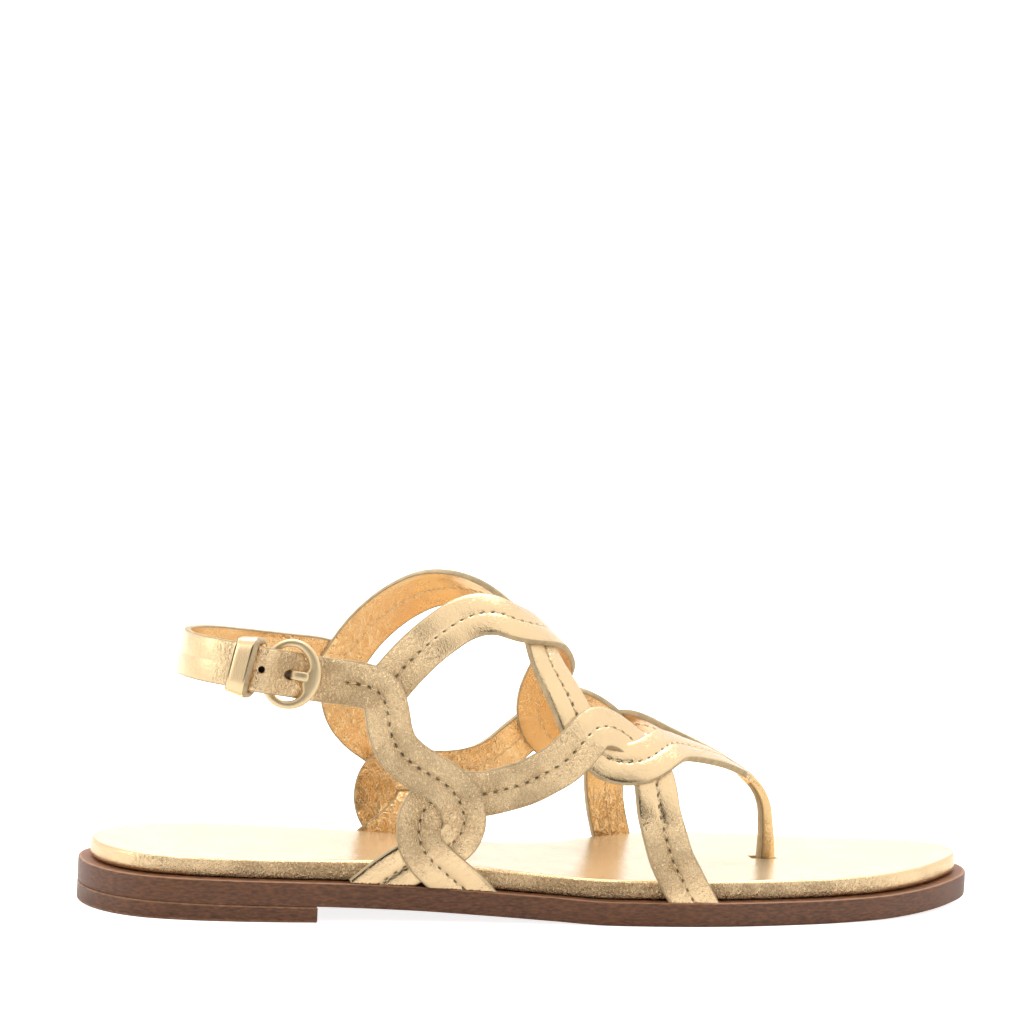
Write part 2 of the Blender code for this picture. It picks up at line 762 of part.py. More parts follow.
def hoop(name, frame, rings, slot):
    """Closed tube: each ring is a list of points, joined to the next and back."""
    verts = []
    faces = []
    size = len(rings[0])
    for ring in rings:
        verts.extend(placed(frame, ring))
    for i in range(len(rings)):
        j = (i + 1) % len(rings)
        for k in range(size):
            m = (k + 1) % size
            faces.append((size * i + k, size * i + m, size * j + m, size * j + k))
    return solid(name, verts, faces, slot)


def ring_half(turn):
    """Half the width of the ring's band, wider towards the toe."""
    return RING_HALF + RING_SWELL * max(np.cos(turn), 0.0) ** 2


def buckle_ring():
    frame = seat_frame(RING_X, RING_LONG)
    middle = RING_FLOOR + 0.5 * RING_THICK
    rings = []
    for i in range(40):
        turn = 2.0 * np.pi * i / 40
        half = ring_half(turn)
        ring = []
        for k in range(8):
            roll = 2.0 * np.pi * (k + 0.5) / 8
            wide = half * np.cos(roll)
            up = middle + 0.5 * RING_THICK * np.sin(roll)
            ring.append(((RING_LONG + wide) * np.cos(turn), (RING_TALL + wide) * np.sin(turn), up))
        rings.append(ring)
    return hoop("buckle_ring", frame, rings, "buckle_metal")


def buckle_prong():
    """Flat prong: an eye round the far side of the ring and an arm to the near side."""
    frame = seat_frame(RING_X, RING_LONG)
    middle = RING_FLOOR + 0.5 * RING_THICK
    half = 0.5 * PRONG_WIDE
    inner = (RING_HALF + SEAT, 0.5 * RING_THICK + SEAT)
    outer = (inner[0] + 0.7, inner[1] + 0.7)
    rings = []
    for i in range(20):
        turn = 2.0 * np.pi * i / 20
        c = np.cos(turn)
        s = np.sin(turn)
        near = (-RING_LONG + inner[0] * c, middle + inner[1] * s)
        far = (-RING_LONG + outer[0] * c, middle + outer[1] * s)
        rings.append([(near[0], -half, near[1]), (near[0], half, near[1]),
                      (far[0], half, far[1]), (far[0], -half, far[1])])
    eye = hoop("buckle_prong", frame, rings, "prong_metal")
    low = 0.5 * PRONG_THICK
    rest = RING_FLOOR + RING_THICK + SEAT + low
    rows = (
        (-5.3, PRONG_UP),
        (-2.0, PRONG_UP),
        (1.5, PRONG_UP + 0.2),
        (3.6, rest - 0.3),
        (5.0, rest),
        (7.2, rest),
    )
    verts = []
    for t, n in rows:
        narrow = 0.85 if t > 6.0 else 1.0
        verts.extend([(t, -half * narrow, n - low), (t, half * narrow, n - low),
                      (t, half * narrow * 0.7, n + low), (t, -half * narrow * 0.7, n + low)])
    faces = []
    for i in range(len(rows) - 1):
        for k in range(4):
            m = (k + 1) % 4
            faces.append((4 * i + k, 4 * i + m, 4 * i + 4 + m, 4 * i + 4 + k))
    faces.append((0, 1, 2, 3))
    end = 4 * (len(rows) - 1)
    faces.append((end, end + 3, end + 2, end + 1))
    arm = solid("arm", placed(frame, verts), faces, None)
    combine(eye, arm, "UNION")
    return eye


def fold(frame):
    """End of the ankle strap turned over the far side of the ring."""
    top = RING_FLOOR + RING_THICK + SEAT
    low = 1.7
    cover = top + FOLD_THICK
    near = RING_LONG - RING_HALF - SEAT - FOLD_SLACK
    far = RING_LONG + RING_HALF + SEAT
    inner = ((-far, low), (-far, top - 0.6), (-far + 0.5, top),
             (-near - 0.5, top), (-near, top - 0.6), (-near, low))
    outer = ((-far - 1.0, low), (-far - 0.7, top), (-far, cover),
             (-near, cover), (-near + 0.7, top), (-near + 1.0, low))
    verts = []
    for s in (-0.5 * FOLD_WIDTH, 0.5 * FOLD_WIDTH):
        for t, n in inner:
            verts.append((t, s, n))
        for t, n in outer:
            verts.append((t, s, n))
    faces = []
    for i in range(5):
        faces.append((i, i + 1, i + 13, i + 12))
        faces.append((i + 6, i + 18, i + 19, i + 7))
        faces.append((i, i + 6, i + 7, i + 1))
        faces.append((i + 12, i + 13, i + 19, i + 18))
    faces.append((0, 12, 18, 6))
    faces.append((5, 11, 23, 17))
    return solid("fold", placed(frame, verts), faces, None)


def keeper():
    """Leather loop round the ankle strap and its free end."""
    frame = seat_frame(KEEPER_X, 2.0)
    half = 0.5 * KEEPER_LONG
    low = -2.0
    high = 8.8
    side = 0.5 * STRAP_WIDTH + 1.0
    middle = 0.5 * (low + high)
    rise = 0.5 * (high - low)
    rings = []
    for i in range(36):
        turn = 2.0 * np.pi * i / 36
        c = np.cos(turn)
        s = np.sin(turn)
        c = np.sign(c) * abs(c) ** 0.42
        s = np.sign(s) * abs(s) ** 0.42
        near = (side * c, middle + rise * s)
        far = ((side + KEEPER_THICK) * c, middle + (rise + KEEPER_THICK) * s)
        lean = KEEPER_LEAN * c
        rings.append([(lean - half, near[0], near[1]), (lean + half, near[0], near[1]),
                      (lean + half, far[0], far[1]), (lean - half, far[0], far[1])])
    return hoop("keeper", frame, rings, "keeper_leather")


# ------------------------------------------------------------------ post
POST_Y = 5.0
POST_ACROSS = 4.0
POST_JOIN = 186.0
SLOT_BACK = 188.2
SLOT_FRONT = 195.4
SLOT_FLOOR = 8.8

# toe post seen from the side: x, z, length of its section
POST = (
    (185.7, 33.0, 2.5),
    (187.7, 31.5, 2.6),
    (189.6, 29.1, 2.8),
    (191.1, 25.8, 3.0),
    (191.9, 21.6, 3.3),
    (192.5, 17.0, 3.8),
    (192.7, 12.6, 4.4),
    (192.7, 9.2, 4.4),
)


WORLD = (np.zeros(3), np.array((1.0, 0.0, 0.0)), np.array((0.0, 1.0, 0.0)), np.array((0.0, 0.0, 1.0)))


def post_slot():
    low = (SLOT_BACK, POST_Y - 0.5 * POST_ACROSS - SEAT, SLOT_FLOOR)
    high = (SLOT_FRONT, POST_Y + 0.5 * POST_ACROSS + SEAT, 20.0)
    return box(WORLD, low, high)


def toe_post():
    path = flow([(x, POST_Y, z, w) for x, z, w in POST], 18)
    ahead = np.gradient(path[:, :3], axis=0)
    ahead = ahead / np.linalg.norm(ahead, axis=1)[:, None]
    verts = []
    for i in range(len(path)):
        level = np.array((0.0, 1.0, 0.0))
        front = np.cross(level, ahead[i])
        for k in range(10):
            turn = 2.0 * np.pi * (k + 0.5) / 10
            c = np.sign(np.cos(turn)) * abs(np.cos(turn)) ** 0.6
            s = np.sign(np.sin(turn)) * abs(np.sin(turn)) ** 0.6
            verts.append(path[i, :3] + front * 0.5 * path[i, 3] * c + level * 0.5 * POST_ACROSS * s)
    faces = []
    for i in range(len(path) - 1):
        for k in range(10):
            m = (k + 1) % 10
            faces.append((10 * i + k, 10 * i + m, 10 * i + 10 + m, 10 * i + 10 + k))
    faces.append(tuple(range(9, -1, -1)))
    end = 10 * (len(path) - 1)
    faces.append(tuple(range(end, end + 10)))
    return solid("toe_post", verts, faces, "post_leather")


# ------------------------------------------------------------------ upper
def upper():
    """Every strap, joined where they cross, cut off at the ledge of the outsole."""
    frame = seat_frame(RING_X, RING_LONG)
    made = ribbon("upper", INNER_ANKLE, 4.0)
    combine(made, fold(frame), "UNION")
    combine(made, box(frame, (-12.0, -1.4, -3.0), (-2.5, 1.4, 5.8)), "DIFFERENCE")
    combine(made, ribbon("strap", OUTER_ANKLE, 3.0), "UNION")
    for table in (OUTER_CURL, INNER_CURL, INSTEP_OUTER, INSTEP_INNER):
        combine(made, ribbon("strap", table, 3.2), "UNION")
    room = 0.5 * PRONG_THICK + SEAT
    low = (-8.2, -0.5 * PRONG_WIDE - SEAT, PRONG_UP - room)
    high = (6.0, 0.5 * PRONG_WIDE + SEAT, PRONG_UP + room + 0.2)
    combine(made, box(frame, low, high), "DIFFERENCE")
    combine(made, ledge_tool(), "DIFFERENCE")
    combine(made, box(WORLD, (POST_JOIN, -20.0, 24.0), (210.0, 30.0, 50.0)), "DIFFERENCE")
    made.data.materials.clear()
    made.data.materials.append(material("strap_leather"))
    return made


def main():
    for old in list(bpy.data.objects):
        bpy.data.objects.remove(old)
    outsole()
    heel_lift()
    footbed()
    upper()
    toe_post()
    keeper()
    buckle_ring()
    buckle_prong()
    for made in bpy.data.objects:
        made.location = (-0.001 * ORIGIN_X, -0.001 * ORIGIN_Y, 0.0)


main()
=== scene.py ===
"""Toe post sandal: the look of every piece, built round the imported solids.

The shapes are worked out in millimetres with the heel at x = 0, the toe along +X and the
inner side of the foot along +Y, and are moved to the frame's own origin as each mesh is made.
"""

import math

import bmesh
import bpy
import numpy as np
from bpy.props import FloatProperty, FloatVectorProperty, PointerProperty
from mathutils import Matrix, Vector, noise


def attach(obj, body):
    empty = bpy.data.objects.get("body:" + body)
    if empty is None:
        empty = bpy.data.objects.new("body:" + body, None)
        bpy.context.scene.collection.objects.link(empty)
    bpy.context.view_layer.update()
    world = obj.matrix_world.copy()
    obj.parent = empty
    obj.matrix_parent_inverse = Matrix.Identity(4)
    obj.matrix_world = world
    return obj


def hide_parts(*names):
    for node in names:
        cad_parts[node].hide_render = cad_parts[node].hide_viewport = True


bl_info = {
    "name": "Toe Post Sandal",
    "version": (1, 0, 0),
    "blender": (4, 5, 0),
    "location": "3D View > Sidebar > Sandal",
    "description": "Builds a flat gold leather toe post sandal with braided straps",
    "category": "Object",
}

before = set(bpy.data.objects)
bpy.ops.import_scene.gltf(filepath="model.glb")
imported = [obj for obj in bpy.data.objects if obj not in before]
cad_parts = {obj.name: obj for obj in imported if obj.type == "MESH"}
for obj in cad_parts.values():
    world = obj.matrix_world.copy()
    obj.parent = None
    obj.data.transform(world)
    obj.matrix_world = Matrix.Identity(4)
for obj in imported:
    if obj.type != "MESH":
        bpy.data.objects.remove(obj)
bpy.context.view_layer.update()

# ------------------------------------------------------------------ sizes
# metres in a millimetre; the frame's own origin in the shoe's millimetres
MM = 0.001
ORIGIN = np.array((125.5, 5.2, 0.0))

# mm: the sole's layers, the outsole's ledge round the footbed and the gap between solids
OUTSOLE_THICK = 6.5
FOOTBED_THICK = 5.1
LEDGE = 3.2
SEAT = 0.3

# mm: the lift's straight front edge, and how far the lift stands out from the outsole
BREAST_X = 61.0
LIFT_PROUD = 0.1

# mm: how far a strap rises to lie over another
STRAP_LAYER = 1.8

# the last: where its back starts to close and how far behind that it ends, the powers that
# shape it, and the height over which its sides leave the footbed's outline
ANKLE_CENTRE_X = 60.0
ANKLE_BACK = 36.0
HEEL_POWER = 2.2
ACROSS_POWER = 2.4
HEIGHT_POWER = 2.1
BODY_RISE = 24.0

# points that a curve is worked out at before they are spaced evenly
FLOW_FINE = 3000

# painted shade: near-black in a needle hole, where the foil also gives way to bare leather, and in
# patches on the wall of a punched hole
NEEDLE_HOLE_PAINTED_SHADE = (0.07, 0.05, 0.025)
PUNCHED_HOLE_PAINTED_SHADES = ((0.03, 0.016, 0.007), (0.07, 0.04, 0.018))

# outsole edge seen from above: x, outer side y, inner side y
PLAN = (
    (1.0, 3.0, 3.0),
    (2.8, -8.0, 12.0),
    (7.5, -16.0, 18.8),
    (14.0, -21.4, 24.6),
    (25.0, -25.4, 29.0),
    (38.0, -27.6, 30.2),
    (53.0, -28.7, 28.2),
    (68.0, -29.0, 24.6),
    (84.0, -29.2, 20.5),
    (102.0, -29.7, 18.6),
    (120.0, -30.8, 21.5),
    (134.0, -32.2, 28.0),
    (147.0, -33.6, 36.3),
    (160.0, -34.3, 42.4),
    (174.0, -33.9, 44.8),
    (190.0, -31.9, 43.2),
    (206.0, -28.8, 39.5),
    (220.0, -24.6, 35.2),
    (232.0, -18.2, 30.5),
    (241.4, -10.4, 24.4),
    (248.0, -2.0, 16.4),
    (250.1, 7.0, 7.0),
)

# side view of the sole: x, underside z, extra footbed thickness
PROFILE = (
    (1.0, 5.0, 0.0),
    (30.0, 4.65, 0.0),
    (62.0, 4.2, 0.2),
    (85.0, 3.4, 0.8),
    (105.0, 2.2, 0.5),
    (125.0, 0.9, 0.0),
    (141.0, 0.0, 0.0),
    (195.0, 0.0, 0.0),
    (215.0, 0.25, 0.0),
    (232.0, 1.0, 0.0),
    (250.1, 2.5, 0.0),
)

# the last above the footbed: x, crest z, crest y, outer side y, inner side y
LAST = (
    (20.0, 120.0, 0.0, -25.0, 25.0),
    (60.0, 114.0, 0.0, -25.5, 25.0),
    (77.0, 103.0, 0.0, -26.5, 25.5),
    (97.0, 92.3, 0.0, -27.5, 25.5),
    (110.0, 85.2, 0.5, -28.5, 25.5),
    (118.0, 78.9, 1.0, -29.5, 26.5),
    (130.0, 68.2, 2.0, -31.0, 29.5),
    (140.0, 59.0, 3.0, -32.0, 32.5),
    (150.0, 52.3, 4.0, -32.5, 36.0),
    (160.0, 47.1, 4.5, -32.5, 39.0),
    (175.0, 40.2, 5.0, -31.5, 40.0),
    (186.0, 33.9, 5.0, -30.0, 39.0),
    (200.0, 29.0, 5.0, -28.0, 37.0),
)


# ------------------------------------------------------------------ properties
def size(name, default, description):
    return FloatProperty(name=name, default=default, description=description, min=0.0)


def colour(name, default, description):
    return FloatVectorProperty(
        name=name, default=default, description=description, subtype="COLOR", min=0.0, max=1.0
    )


class SandalSizes(bpy.types.PropertyGroup):
    """Sizes of the straps and their sewing, in millimetres."""

    strap_width: size("Strap width", 11.8, "Width of every strap, mm")
    strap_thick: size("Strap thickness", 1.95, "Two layers of leather, mm")
    strap_crown: size("Strap crown", 0.12, "How far each half of a strap swells, mm")
    groove_deep: size("Groove depth", 0.15, "Depth of the sewn groove, mm")
    stitch_pitch: size("Stitch pitch", 2.95, "Distance from needle hole to needle hole, mm")
    thread_thick: size("Thread thickness", 0.34, "Diameter of the sewing thread, mm")
    hole_wide: size("Spare hole", 1.8, "Diameter of the holes in the strap end, mm")


class SandalColours(bpy.types.PropertyGroup):
    """Base colours of the leathers, threads and metal."""

    foil: colour("Foil", (0.82, 0.60, 0.345), "Gold foiled leather on the faces of the straps")
    # painted shade: the next colour is blended into the creases of the foil's grain
    foil_crease_shade: colour("Foil, deep", (0.42, 0.29, 0.15), "Foil in the folds of the grain")
    lining: colour("Lining", (0.86, 0.58, 0.28), "Gold lining of the straps")
    # painted shade: the next colour is blended into the creases of the lining
    lining_crease_shade: colour("Lining, deep", (0.50, 0.24, 0.07), "Lining in its folds")
    cut_edge: colour("Cut edge", (0.46, 0.35, 0.20), "Painted edge of the straps")
    # painted light: the footbed's top takes this paler, less metallic copy of the foil, for the bright
    # reflection that it catches; its side takes the darker strap foil
    footbed: colour("Footbed", (0.90, 0.73, 0.49), "Foiled cover of the footbed")
    sole: colour("Sole", (0.119, 0.048, 0.021), "Stained leather of the sole's side")
    # partly painted highlight: the sole's rounded corners and the lift's joints are paled towards this
    # colour, partly as rubbed wear
    sole_rim_wear_and_highlight: colour("Sole, pale", (0.34, 0.17, 0.09), "Rubbed corners and joints of the sole")
    thread: colour("Thread", (0.74, 0.58, 0.34), "Sewing thread")
    metal: colour("Metal", (0.80, 0.62, 0.37), "Pale gold plated buckle")


def sizes():
    return bpy.context.scene.sandal_sizes


def colours():
    return bpy.context.scene.sandal_colours


# ------------------------------------------------------------------ curves
def hermite(t):
    """Weights of start, rate at the start, end and rate at the end, for t from 0 to 1."""
    return (
        (1.0 + 2.0 * t) * (1.0 - t) ** 2,
        t * (1.0 - t) ** 2,
        t * t * (3.0 - 2.0 * t),
        t * t * (t - 1.0),
    )


def run_along(points):
    """Length of a line of points up to each of them."""
    return np.concatenate(([0.0], np.cumsum(np.linalg.norm(np.diff(points, axis=0), axis=1))))


def unit(rows):
    """Rows of vectors, each made one long."""
    return rows / np.linalg.norm(rows, axis=1)[:, None]


def read_off(at, run, rows):
    """Every column of rows, which are given along run, read off at one or more places."""
    return np.stack([np.interp(at, run, column) for column in rows.T], axis=-1)


def hump(place, at, reach):
    """Bell that is 1 at its middle."""
    return np.exp(-(((place - at) / reach) ** 2))


def turns(count, shift=0.0):
    """Angles of one full turn in equal steps, the first moved on by a share of a step."""
    return [2.0 * math.pi * (k + shift) / count for k in range(count)]


def rounded(turn, across, up):
    """Cosine and sine of an angle, squared off by powers below 1."""
    c = math.cos(turn)
    s = math.sin(turn)
    return math.copysign(abs(c) ** across, c), math.copysign(abs(s) ** up, s)


def steady(table, column, x):
    """Value of one column of a table at x, smooth and without overshoot."""
    rows = np.asarray(table, float)
    xs = rows[:, 0]
    ys = rows[:, column]
    step = np.diff(xs)
    slope = np.diff(ys) / step
    rate = np.zeros(len(xs))
    for i in range(1, len(xs) - 1):
        if slope[i - 1] * slope[i] > 0.0:
            first = 2.0 * step[i] + step[i - 1]
            second = step[i] + 2.0 * step[i - 1]
            rate[i] = (first + second) / (first / slope[i - 1] + second / slope[i])
    rate[0] = slope[0]
    rate[-1] = slope[-1]
    x = np.clip(np.asarray(x, float), xs[0], xs[-1])
    k = np.clip(np.searchsorted(xs, x) - 1, 0, len(xs) - 2)
    a, b, c, d = hermite((x - xs[k]) / step[k])
    return a * ys[k] + b * step[k] * rate[k] + c * ys[k + 1] + d * step[k] * rate[k + 1]


def flow(rows, count, space=3):
    """Evenly spaced points on a smooth curve through the rows."""
    rows = np.asarray(rows, float)
    at = run_along(rows[:, :space])
    rate = np.zeros_like(rows)
    for i in range(1, len(rows) - 1):
        before = at[i] - at[i - 1]
        after = at[i + 1] - at[i]
        back = (rows[i] - rows[i - 1]) / before
        ahead = (rows[i + 1] - rows[i]) / after
        rate[i] = (back * after + ahead * before) / (before + after)
    rate[0] = (rows[1] - rows[0]) / (at[1] - at[0])
    rate[-1] = (rows[-1] - rows[-2]) / (at[-1] - at[-2])
    u = np.linspace(0.0, at[-1], FLOW_FINE)
    k = np.clip(np.searchsorted(at, u) - 1, 0, len(at) - 2)
    wide = (at[k + 1] - at[k])[:, None]
    a, b, c, d = hermite((u[:, None] - at[k][:, None]) / wide)
    fine = a * rows[k] + b * wide * rate[k] + c * rows[k + 1] + d * wide * rate[k + 1]
    run = run_along(fine[:, :space])
    return read_off(np.linspace(0.0, run[-1], count), run, fine)


def plan_loop(fine=1200):
    """Closed outsole edge, from the heel back by the outer side round the toe."""
    rows = np.asarray(PLAN, float)
    outer = rows[:, (0, 1)]
    inner = rows[-2:0:-1, (0, 2)]
    ring = np.concatenate((outer, inner))
    wrap = np.concatenate((ring[-3:], ring, ring[:4]))
    path = flow(wrap, fine + fine // 3, space=2)
    gap = np.linalg.norm(path - ring[0], axis=1)
    half = len(path) // 2
    start = int(np.argmin(gap[:half]))
    stop = half + int(np.argmin(gap[half:]))
    return path[start:stop]


RING_PLAN = plan_loop()


def inward(ring, reach):
    """Direction into a closed outline at each point, by its neighbours reach points away."""
    ahead = unit(np.roll(ring, -reach, axis=0) - np.roll(ring, reach, axis=0))
    return np.stack((-ahead[:, 1], ahead[:, 0]), axis=1)


def halves(inset, count):
    """Outer and inner edge points, both from heel back to toe tip, moved in by inset."""
    moved = RING_PLAN + inward(RING_PLAN, 4) * inset
    moved = np.roll(moved, -int(np.argmin(moved[:, 0])), axis=0)
    tip = int(np.argmax(moved[:, 0]))
    # closer together at the heel and the toe, where the outline turns
    crowded = 0.5 - 0.5 * np.cos(np.linspace(0.0, np.pi, count))
    share = 0.55 * crowded + 0.45 * np.linspace(0.0, 1.0, count)
    sides = []
    for edge in (moved[: tip + 1], np.concatenate((moved[:1], moved[:tip - 1:-1]))):
        run = run_along(edge)
        sides.append(read_off(share * run[-1], run, edge))
    return sides


def edge_at(edge, x):
    """How far across an edge lies at x."""
    return np.interp(x, edge[:, 0], edge[:, 1])


def under_z(x):
    return steady(PROFILE, 1, x)


def ledge_z(x):
    return under_z(x) + OUTSOLE_THICK


def footbed_z(x):
    return ledge_z(x) + SEAT + FOOTBED_THICK + steady(PROFILE, 2, x)


# ------------------------------------------------------------------ the last
WALL_OUT, WALL_IN = halves(LEDGE - SEAT, 160)


def last_level(p):
    """Value that is 1 on the skin of the last, less inside and more outside."""
    x = p[..., 0]
    y = p[..., 1]
    z = p[..., 2]
    floor = footbed_z(x)
    crest = steady(LAST, 1, x)
    middle = steady(LAST, 2, x)
    up = np.clip((z - floor) / BODY_RISE, 0.0, 1.0)
    up = up * up * (3.0 - 2.0 * up)
    near = edge_at(WALL_OUT, x) * (1.0 - up) + steady(LAST, 3, x) * up
    far = edge_at(WALL_IN, x) * (1.0 - up) + steady(LAST, 4, x) * up
    half = np.where(y < middle, middle - near, far - middle)
    across = (np.abs(y - middle) / half) ** ACROSS_POWER
    height = (np.clip(z - floor, 0.0, None) / (crest - floor)) ** HEIGHT_POWER
    heel = (np.clip(ANKLE_CENTRE_X - x, 0.0, None) / ANKLE_BACK) ** HEEL_POWER
    return across + height + heel


def last_normal(p):
    """Slope of the level, as a vector."""
    step = 0.05
    parts = []
    for axis in range(3):
        move = np.zeros(3)
        move[axis] = step
        parts.append((last_level(p + move) - last_level(p - move)) / (2.0 * step))
    return np.stack(parts, axis=-1)


def onto_last(p):
    """Points moved to the skin of the last, with the outward direction there."""
    p = np.array(p, float)
    furthest = 2.5
    for _ in range(12):
        slope = last_normal(p)
        length = np.linalg.norm(slope, axis=-1) + 1e-9
        move = np.clip((1.0 - last_level(p)) / length, -furthest, furthest)
        p = p + slope / length[..., None] * move[..., None]
    slope = last_normal(p)
    return p, slope / (np.linalg.norm(slope, axis=-1)[..., None] + 1e-9)


# ------------------------------------------------------------------ meshes
def in_metres(points):
    """Millimetre points moved to the frame's own origin."""
    return (np.asarray(points, float) - ORIGIN) * MM


def face_outward(mesh):
    work = bmesh.new()
    work.from_mesh(mesh)
    bmesh.ops.recalc_face_normals(work, faces=work.faces)
    work.to_mesh(mesh)
    work.free()


def piece(name, verts, faces, materials, marks=None, uvs=None, values=None):
    """Closed mesh object from millimetre points.

    marks gives each face its material, uvs is one pair for each vertex, and values holds
    named numbers for each vertex.
    """
    mesh = bpy.data.meshes.new(name)
    mesh.from_pydata(in_metres(verts).tolist(), [], [tuple(int(v) for v in f) for f in faces])
    for made in materials:
        mesh.materials.append(made)
    if marks is not None:
        mesh.polygons.foreach_set("material_index", np.asarray(marks, np.int32))
    mesh.polygons.foreach_set("use_smooth", np.ones(len(faces), bool))
    if uvs is not None:
        layer = mesh.uv_layers.new(name="run")
        corner = np.zeros(len(mesh.loops), np.int32)
        mesh.loops.foreach_get("vertex_index", corner)
        layer.data.foreach_set("uv", np.asarray(uvs, np.float32)[corner].ravel())
    for label, column in (values or {}).items():
        held = mesh.attributes.new(label, "FLOAT", "POINT")
        held.data.foreach_set("value", np.asarray(column, np.float32))
    mesh.update()
    face_outward(mesh)
    made = bpy.data.objects.new(name, mesh)
    bpy.context.scene.collection.objects.link(made)
    return made


def leather_values(count, crinkle, rim=0.0, hole=0.0):
    """What the foil and lining read at each vertex: folds, rubbed rim, and painted shade in needle
    holes and seams.
    """
    given = {"crinkle": crinkle, "rim": rim, "hole": hole}
    return {label: np.full(count, value) for label, value in given.items()}


def finish_piece(made, node):
    """Hangs the piece under the root body and hides the solid that it stands for."""
    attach(made, "root")
    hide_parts(node)


def tube_faces(rings, around, closed=False):
    """Faces between rings of points, each with the same number around."""
    faces = []
    last = rings if closed else rings - 1
    for i in range(last):
        j = (i + 1) % rings
        for k in range(around):
            m = (k + 1) % around
            faces.append((around * i + k, around * i + m, around * j + m, around * j + k))
    return faces


def rod_faces(rings, around, base=0):
    """Faces of a tube that is closed at both ends, its points numbered from base."""
    faces = tube_faces(rings, around)
    faces.append(tuple(reversed(range(around))))
    faces.append(tuple(range(around * (rings - 1), around * rings)))
    return [tuple(base + v for v in f) for f in faces]


def zip_strip(first, second):
    """Triangles between two rows of points; those with less than three corners are left out."""
    faces = []
    i = 0
    j = 0
    while i < len(first) - 1 or j < len(second) - 1:
        nearer = (i + 1) / (len(first) - 1) <= (j + 1) / (len(second) - 1)
        if j == len(second) - 1 or (i < len(first) - 1 and nearer):
            face = (first[i], first[i + 1], second[j])
            i += 1
        else:
            face = (first[i], second[j + 1], second[j])
            j += 1
        if len(set(face)) == 3:
            faces.append(face)
    return faces


def turned(faces, flip):
    """The faces, seen from the other side if flip is set."""
    return [tuple(reversed(f)) for f in faces] if flip else faces


def ripple(point, scale, seed):
    """Smooth noise from -1 to 1 at a millimetre point."""
    return noise.noise(Vector((point[0] / scale + seed, point[1] / scale, point[2] / scale)))


# ------------------------------------------------------------------ shader nodes
def plug(tree, socket, value):
    """Gives one input its link, colour or number."""
    if isinstance(value, bpy.types.NodeSocket):
        tree.links.new(value, socket)
    elif socket.type == "RGBA":
        socket.default_value = (*value, 1.0)
    else:
        socket.default_value = value


def feed(tree, node, **values):
    """Sets or links a node's inputs by name."""
    for label, value in values.items():
        plug(tree, node.inputs[label.replace("_", " ")], value)


def add(tree, kind, **values):
    """New node; values name its properties, or its inputs when they are not properties."""
    made = tree.nodes.new(kind)
    for label, value in values.items():
        if hasattr(made, label):
            setattr(made, label, value)
        else:
            feed(tree, made, **{label: value})
    return made


def maths(tree, operation, first, second=0.0, clamp=False):
    """Math node on sockets or numbers; returns its output."""
    made = add(tree, "ShaderNodeMath", operation=operation, use_clamp=clamp)
    plug(tree, made.inputs[0], first)
    plug(tree, made.inputs[1], second)
    return made.outputs[0]


def scaled(tree, value, by, plus, clamp=False):
    """Value times one number or socket, plus another; returns the output."""
    return maths(tree, "ADD", maths(tree, "MULTIPLY", value, by), plus, clamp)


def blend(tree, factor, low, high):
    """Colour mix; factor, low and high are sockets or values. Returns its output."""
    made = add(tree, "ShaderNodeMix", data_type="RGBA", clamp_factor=True)
    plug(tree, made.inputs[0], factor)
    plug(tree, made.inputs[6], low)
    plug(tree, made.inputs[7], high)
    return made.outputs[2]


def spread(tree, value, low, high, to_low=0.0, to_high=1.0):
    """Smooth step from one range to another; returns its output."""
    made = add(tree, "ShaderNodeMapRange", interpolation_type="SMOOTHSTEP", Value=value,
               From_Min=low, From_Max=high, To_Min=to_low, To_Max=to_high)
    return made.outputs["Result"]


def speckle(tree, place, **values):
    """Noise texture at a place; returns its number."""
    return add(tree, "ShaderNodeTexNoise", Vector=place, **values).outputs["Fac"]


def stretched(tree, place, scale):
    """Coordinates scaled along each axis."""
    return add(tree, "ShaderNodeMapping", vector_type="POINT", Vector=place, Scale=scale).outputs[0]


def once(store, name):
    """Lets a maker work only while its material or node group is not there yet."""
    def wrap(make):
        def found():
            return getattr(bpy.data, store).get(name) or make(name)
        return found
    return wrap


def new_group(name, numbers, results):
    """Node group with a Vector, named number inputs and named number outputs.

    Returns the tree, the sockets that it is given and the node that takes its results.
    """
    tree = bpy.data.node_groups.new(name, "ShaderNodeTree")
    tree.interface.new_socket(name="Vector", in_out="INPUT", socket_type="NodeSocketVector")
    for label, default in numbers.items():
        socket = tree.interface.new_socket(name=label, in_out="INPUT", socket_type="NodeSocketFloat")
        socket.default_value = default
    for label in results:
        tree.interface.new_socket(name=label, in_out="OUTPUT", socket_type="NodeSocketFloat")
    return tree, tree.nodes.new("NodeGroupInput").outputs, tree.nodes.new("NodeGroupOutput")


@once("node_groups", "crinkled foil")
def crinkle_group(name):
    """Folded foil: soft pillows parted by fine creases, over a fine grain."""
    numbers = {"Cell": 1300.0, "Amount": 0.5, "Grain": 0.3}
    tree, given, out = new_group(name, numbers, ("Height", "Creases"))
    tall = stretched(tree, given["Vector"], (1.0, 1.0, 0.62))
    folds = speckle(tree, tall, Scale=given["Cell"], Detail=3.0, Roughness=0.62, Distortion=0.5)
    centred = maths(tree, "SUBTRACT", maths(tree, "MULTIPLY", folds, 2.0), 1.0)
    pillow = maths(tree, "ABSOLUTE", centred)
    shape = scaled(tree, pillow, 2.0, speckle(tree, tall, Scale=420.0, Detail=2.0, Roughness=0.5))
    fine = speckle(tree, given["Vector"], Scale=3600.0, Detail=2.0)
    grain = maths(tree, "MULTIPLY", fine, given["Grain"])
    sharp = maths(tree, "SUBTRACT", 1.0, spread(tree, pillow, 0.0, 0.14))
    feed(tree, out, Height=scaled(tree, shape, given["Amount"], grain),
         Creases=maths(tree, "MULTIPLY", sharp, given["Amount"], clamp=True))
    return tree


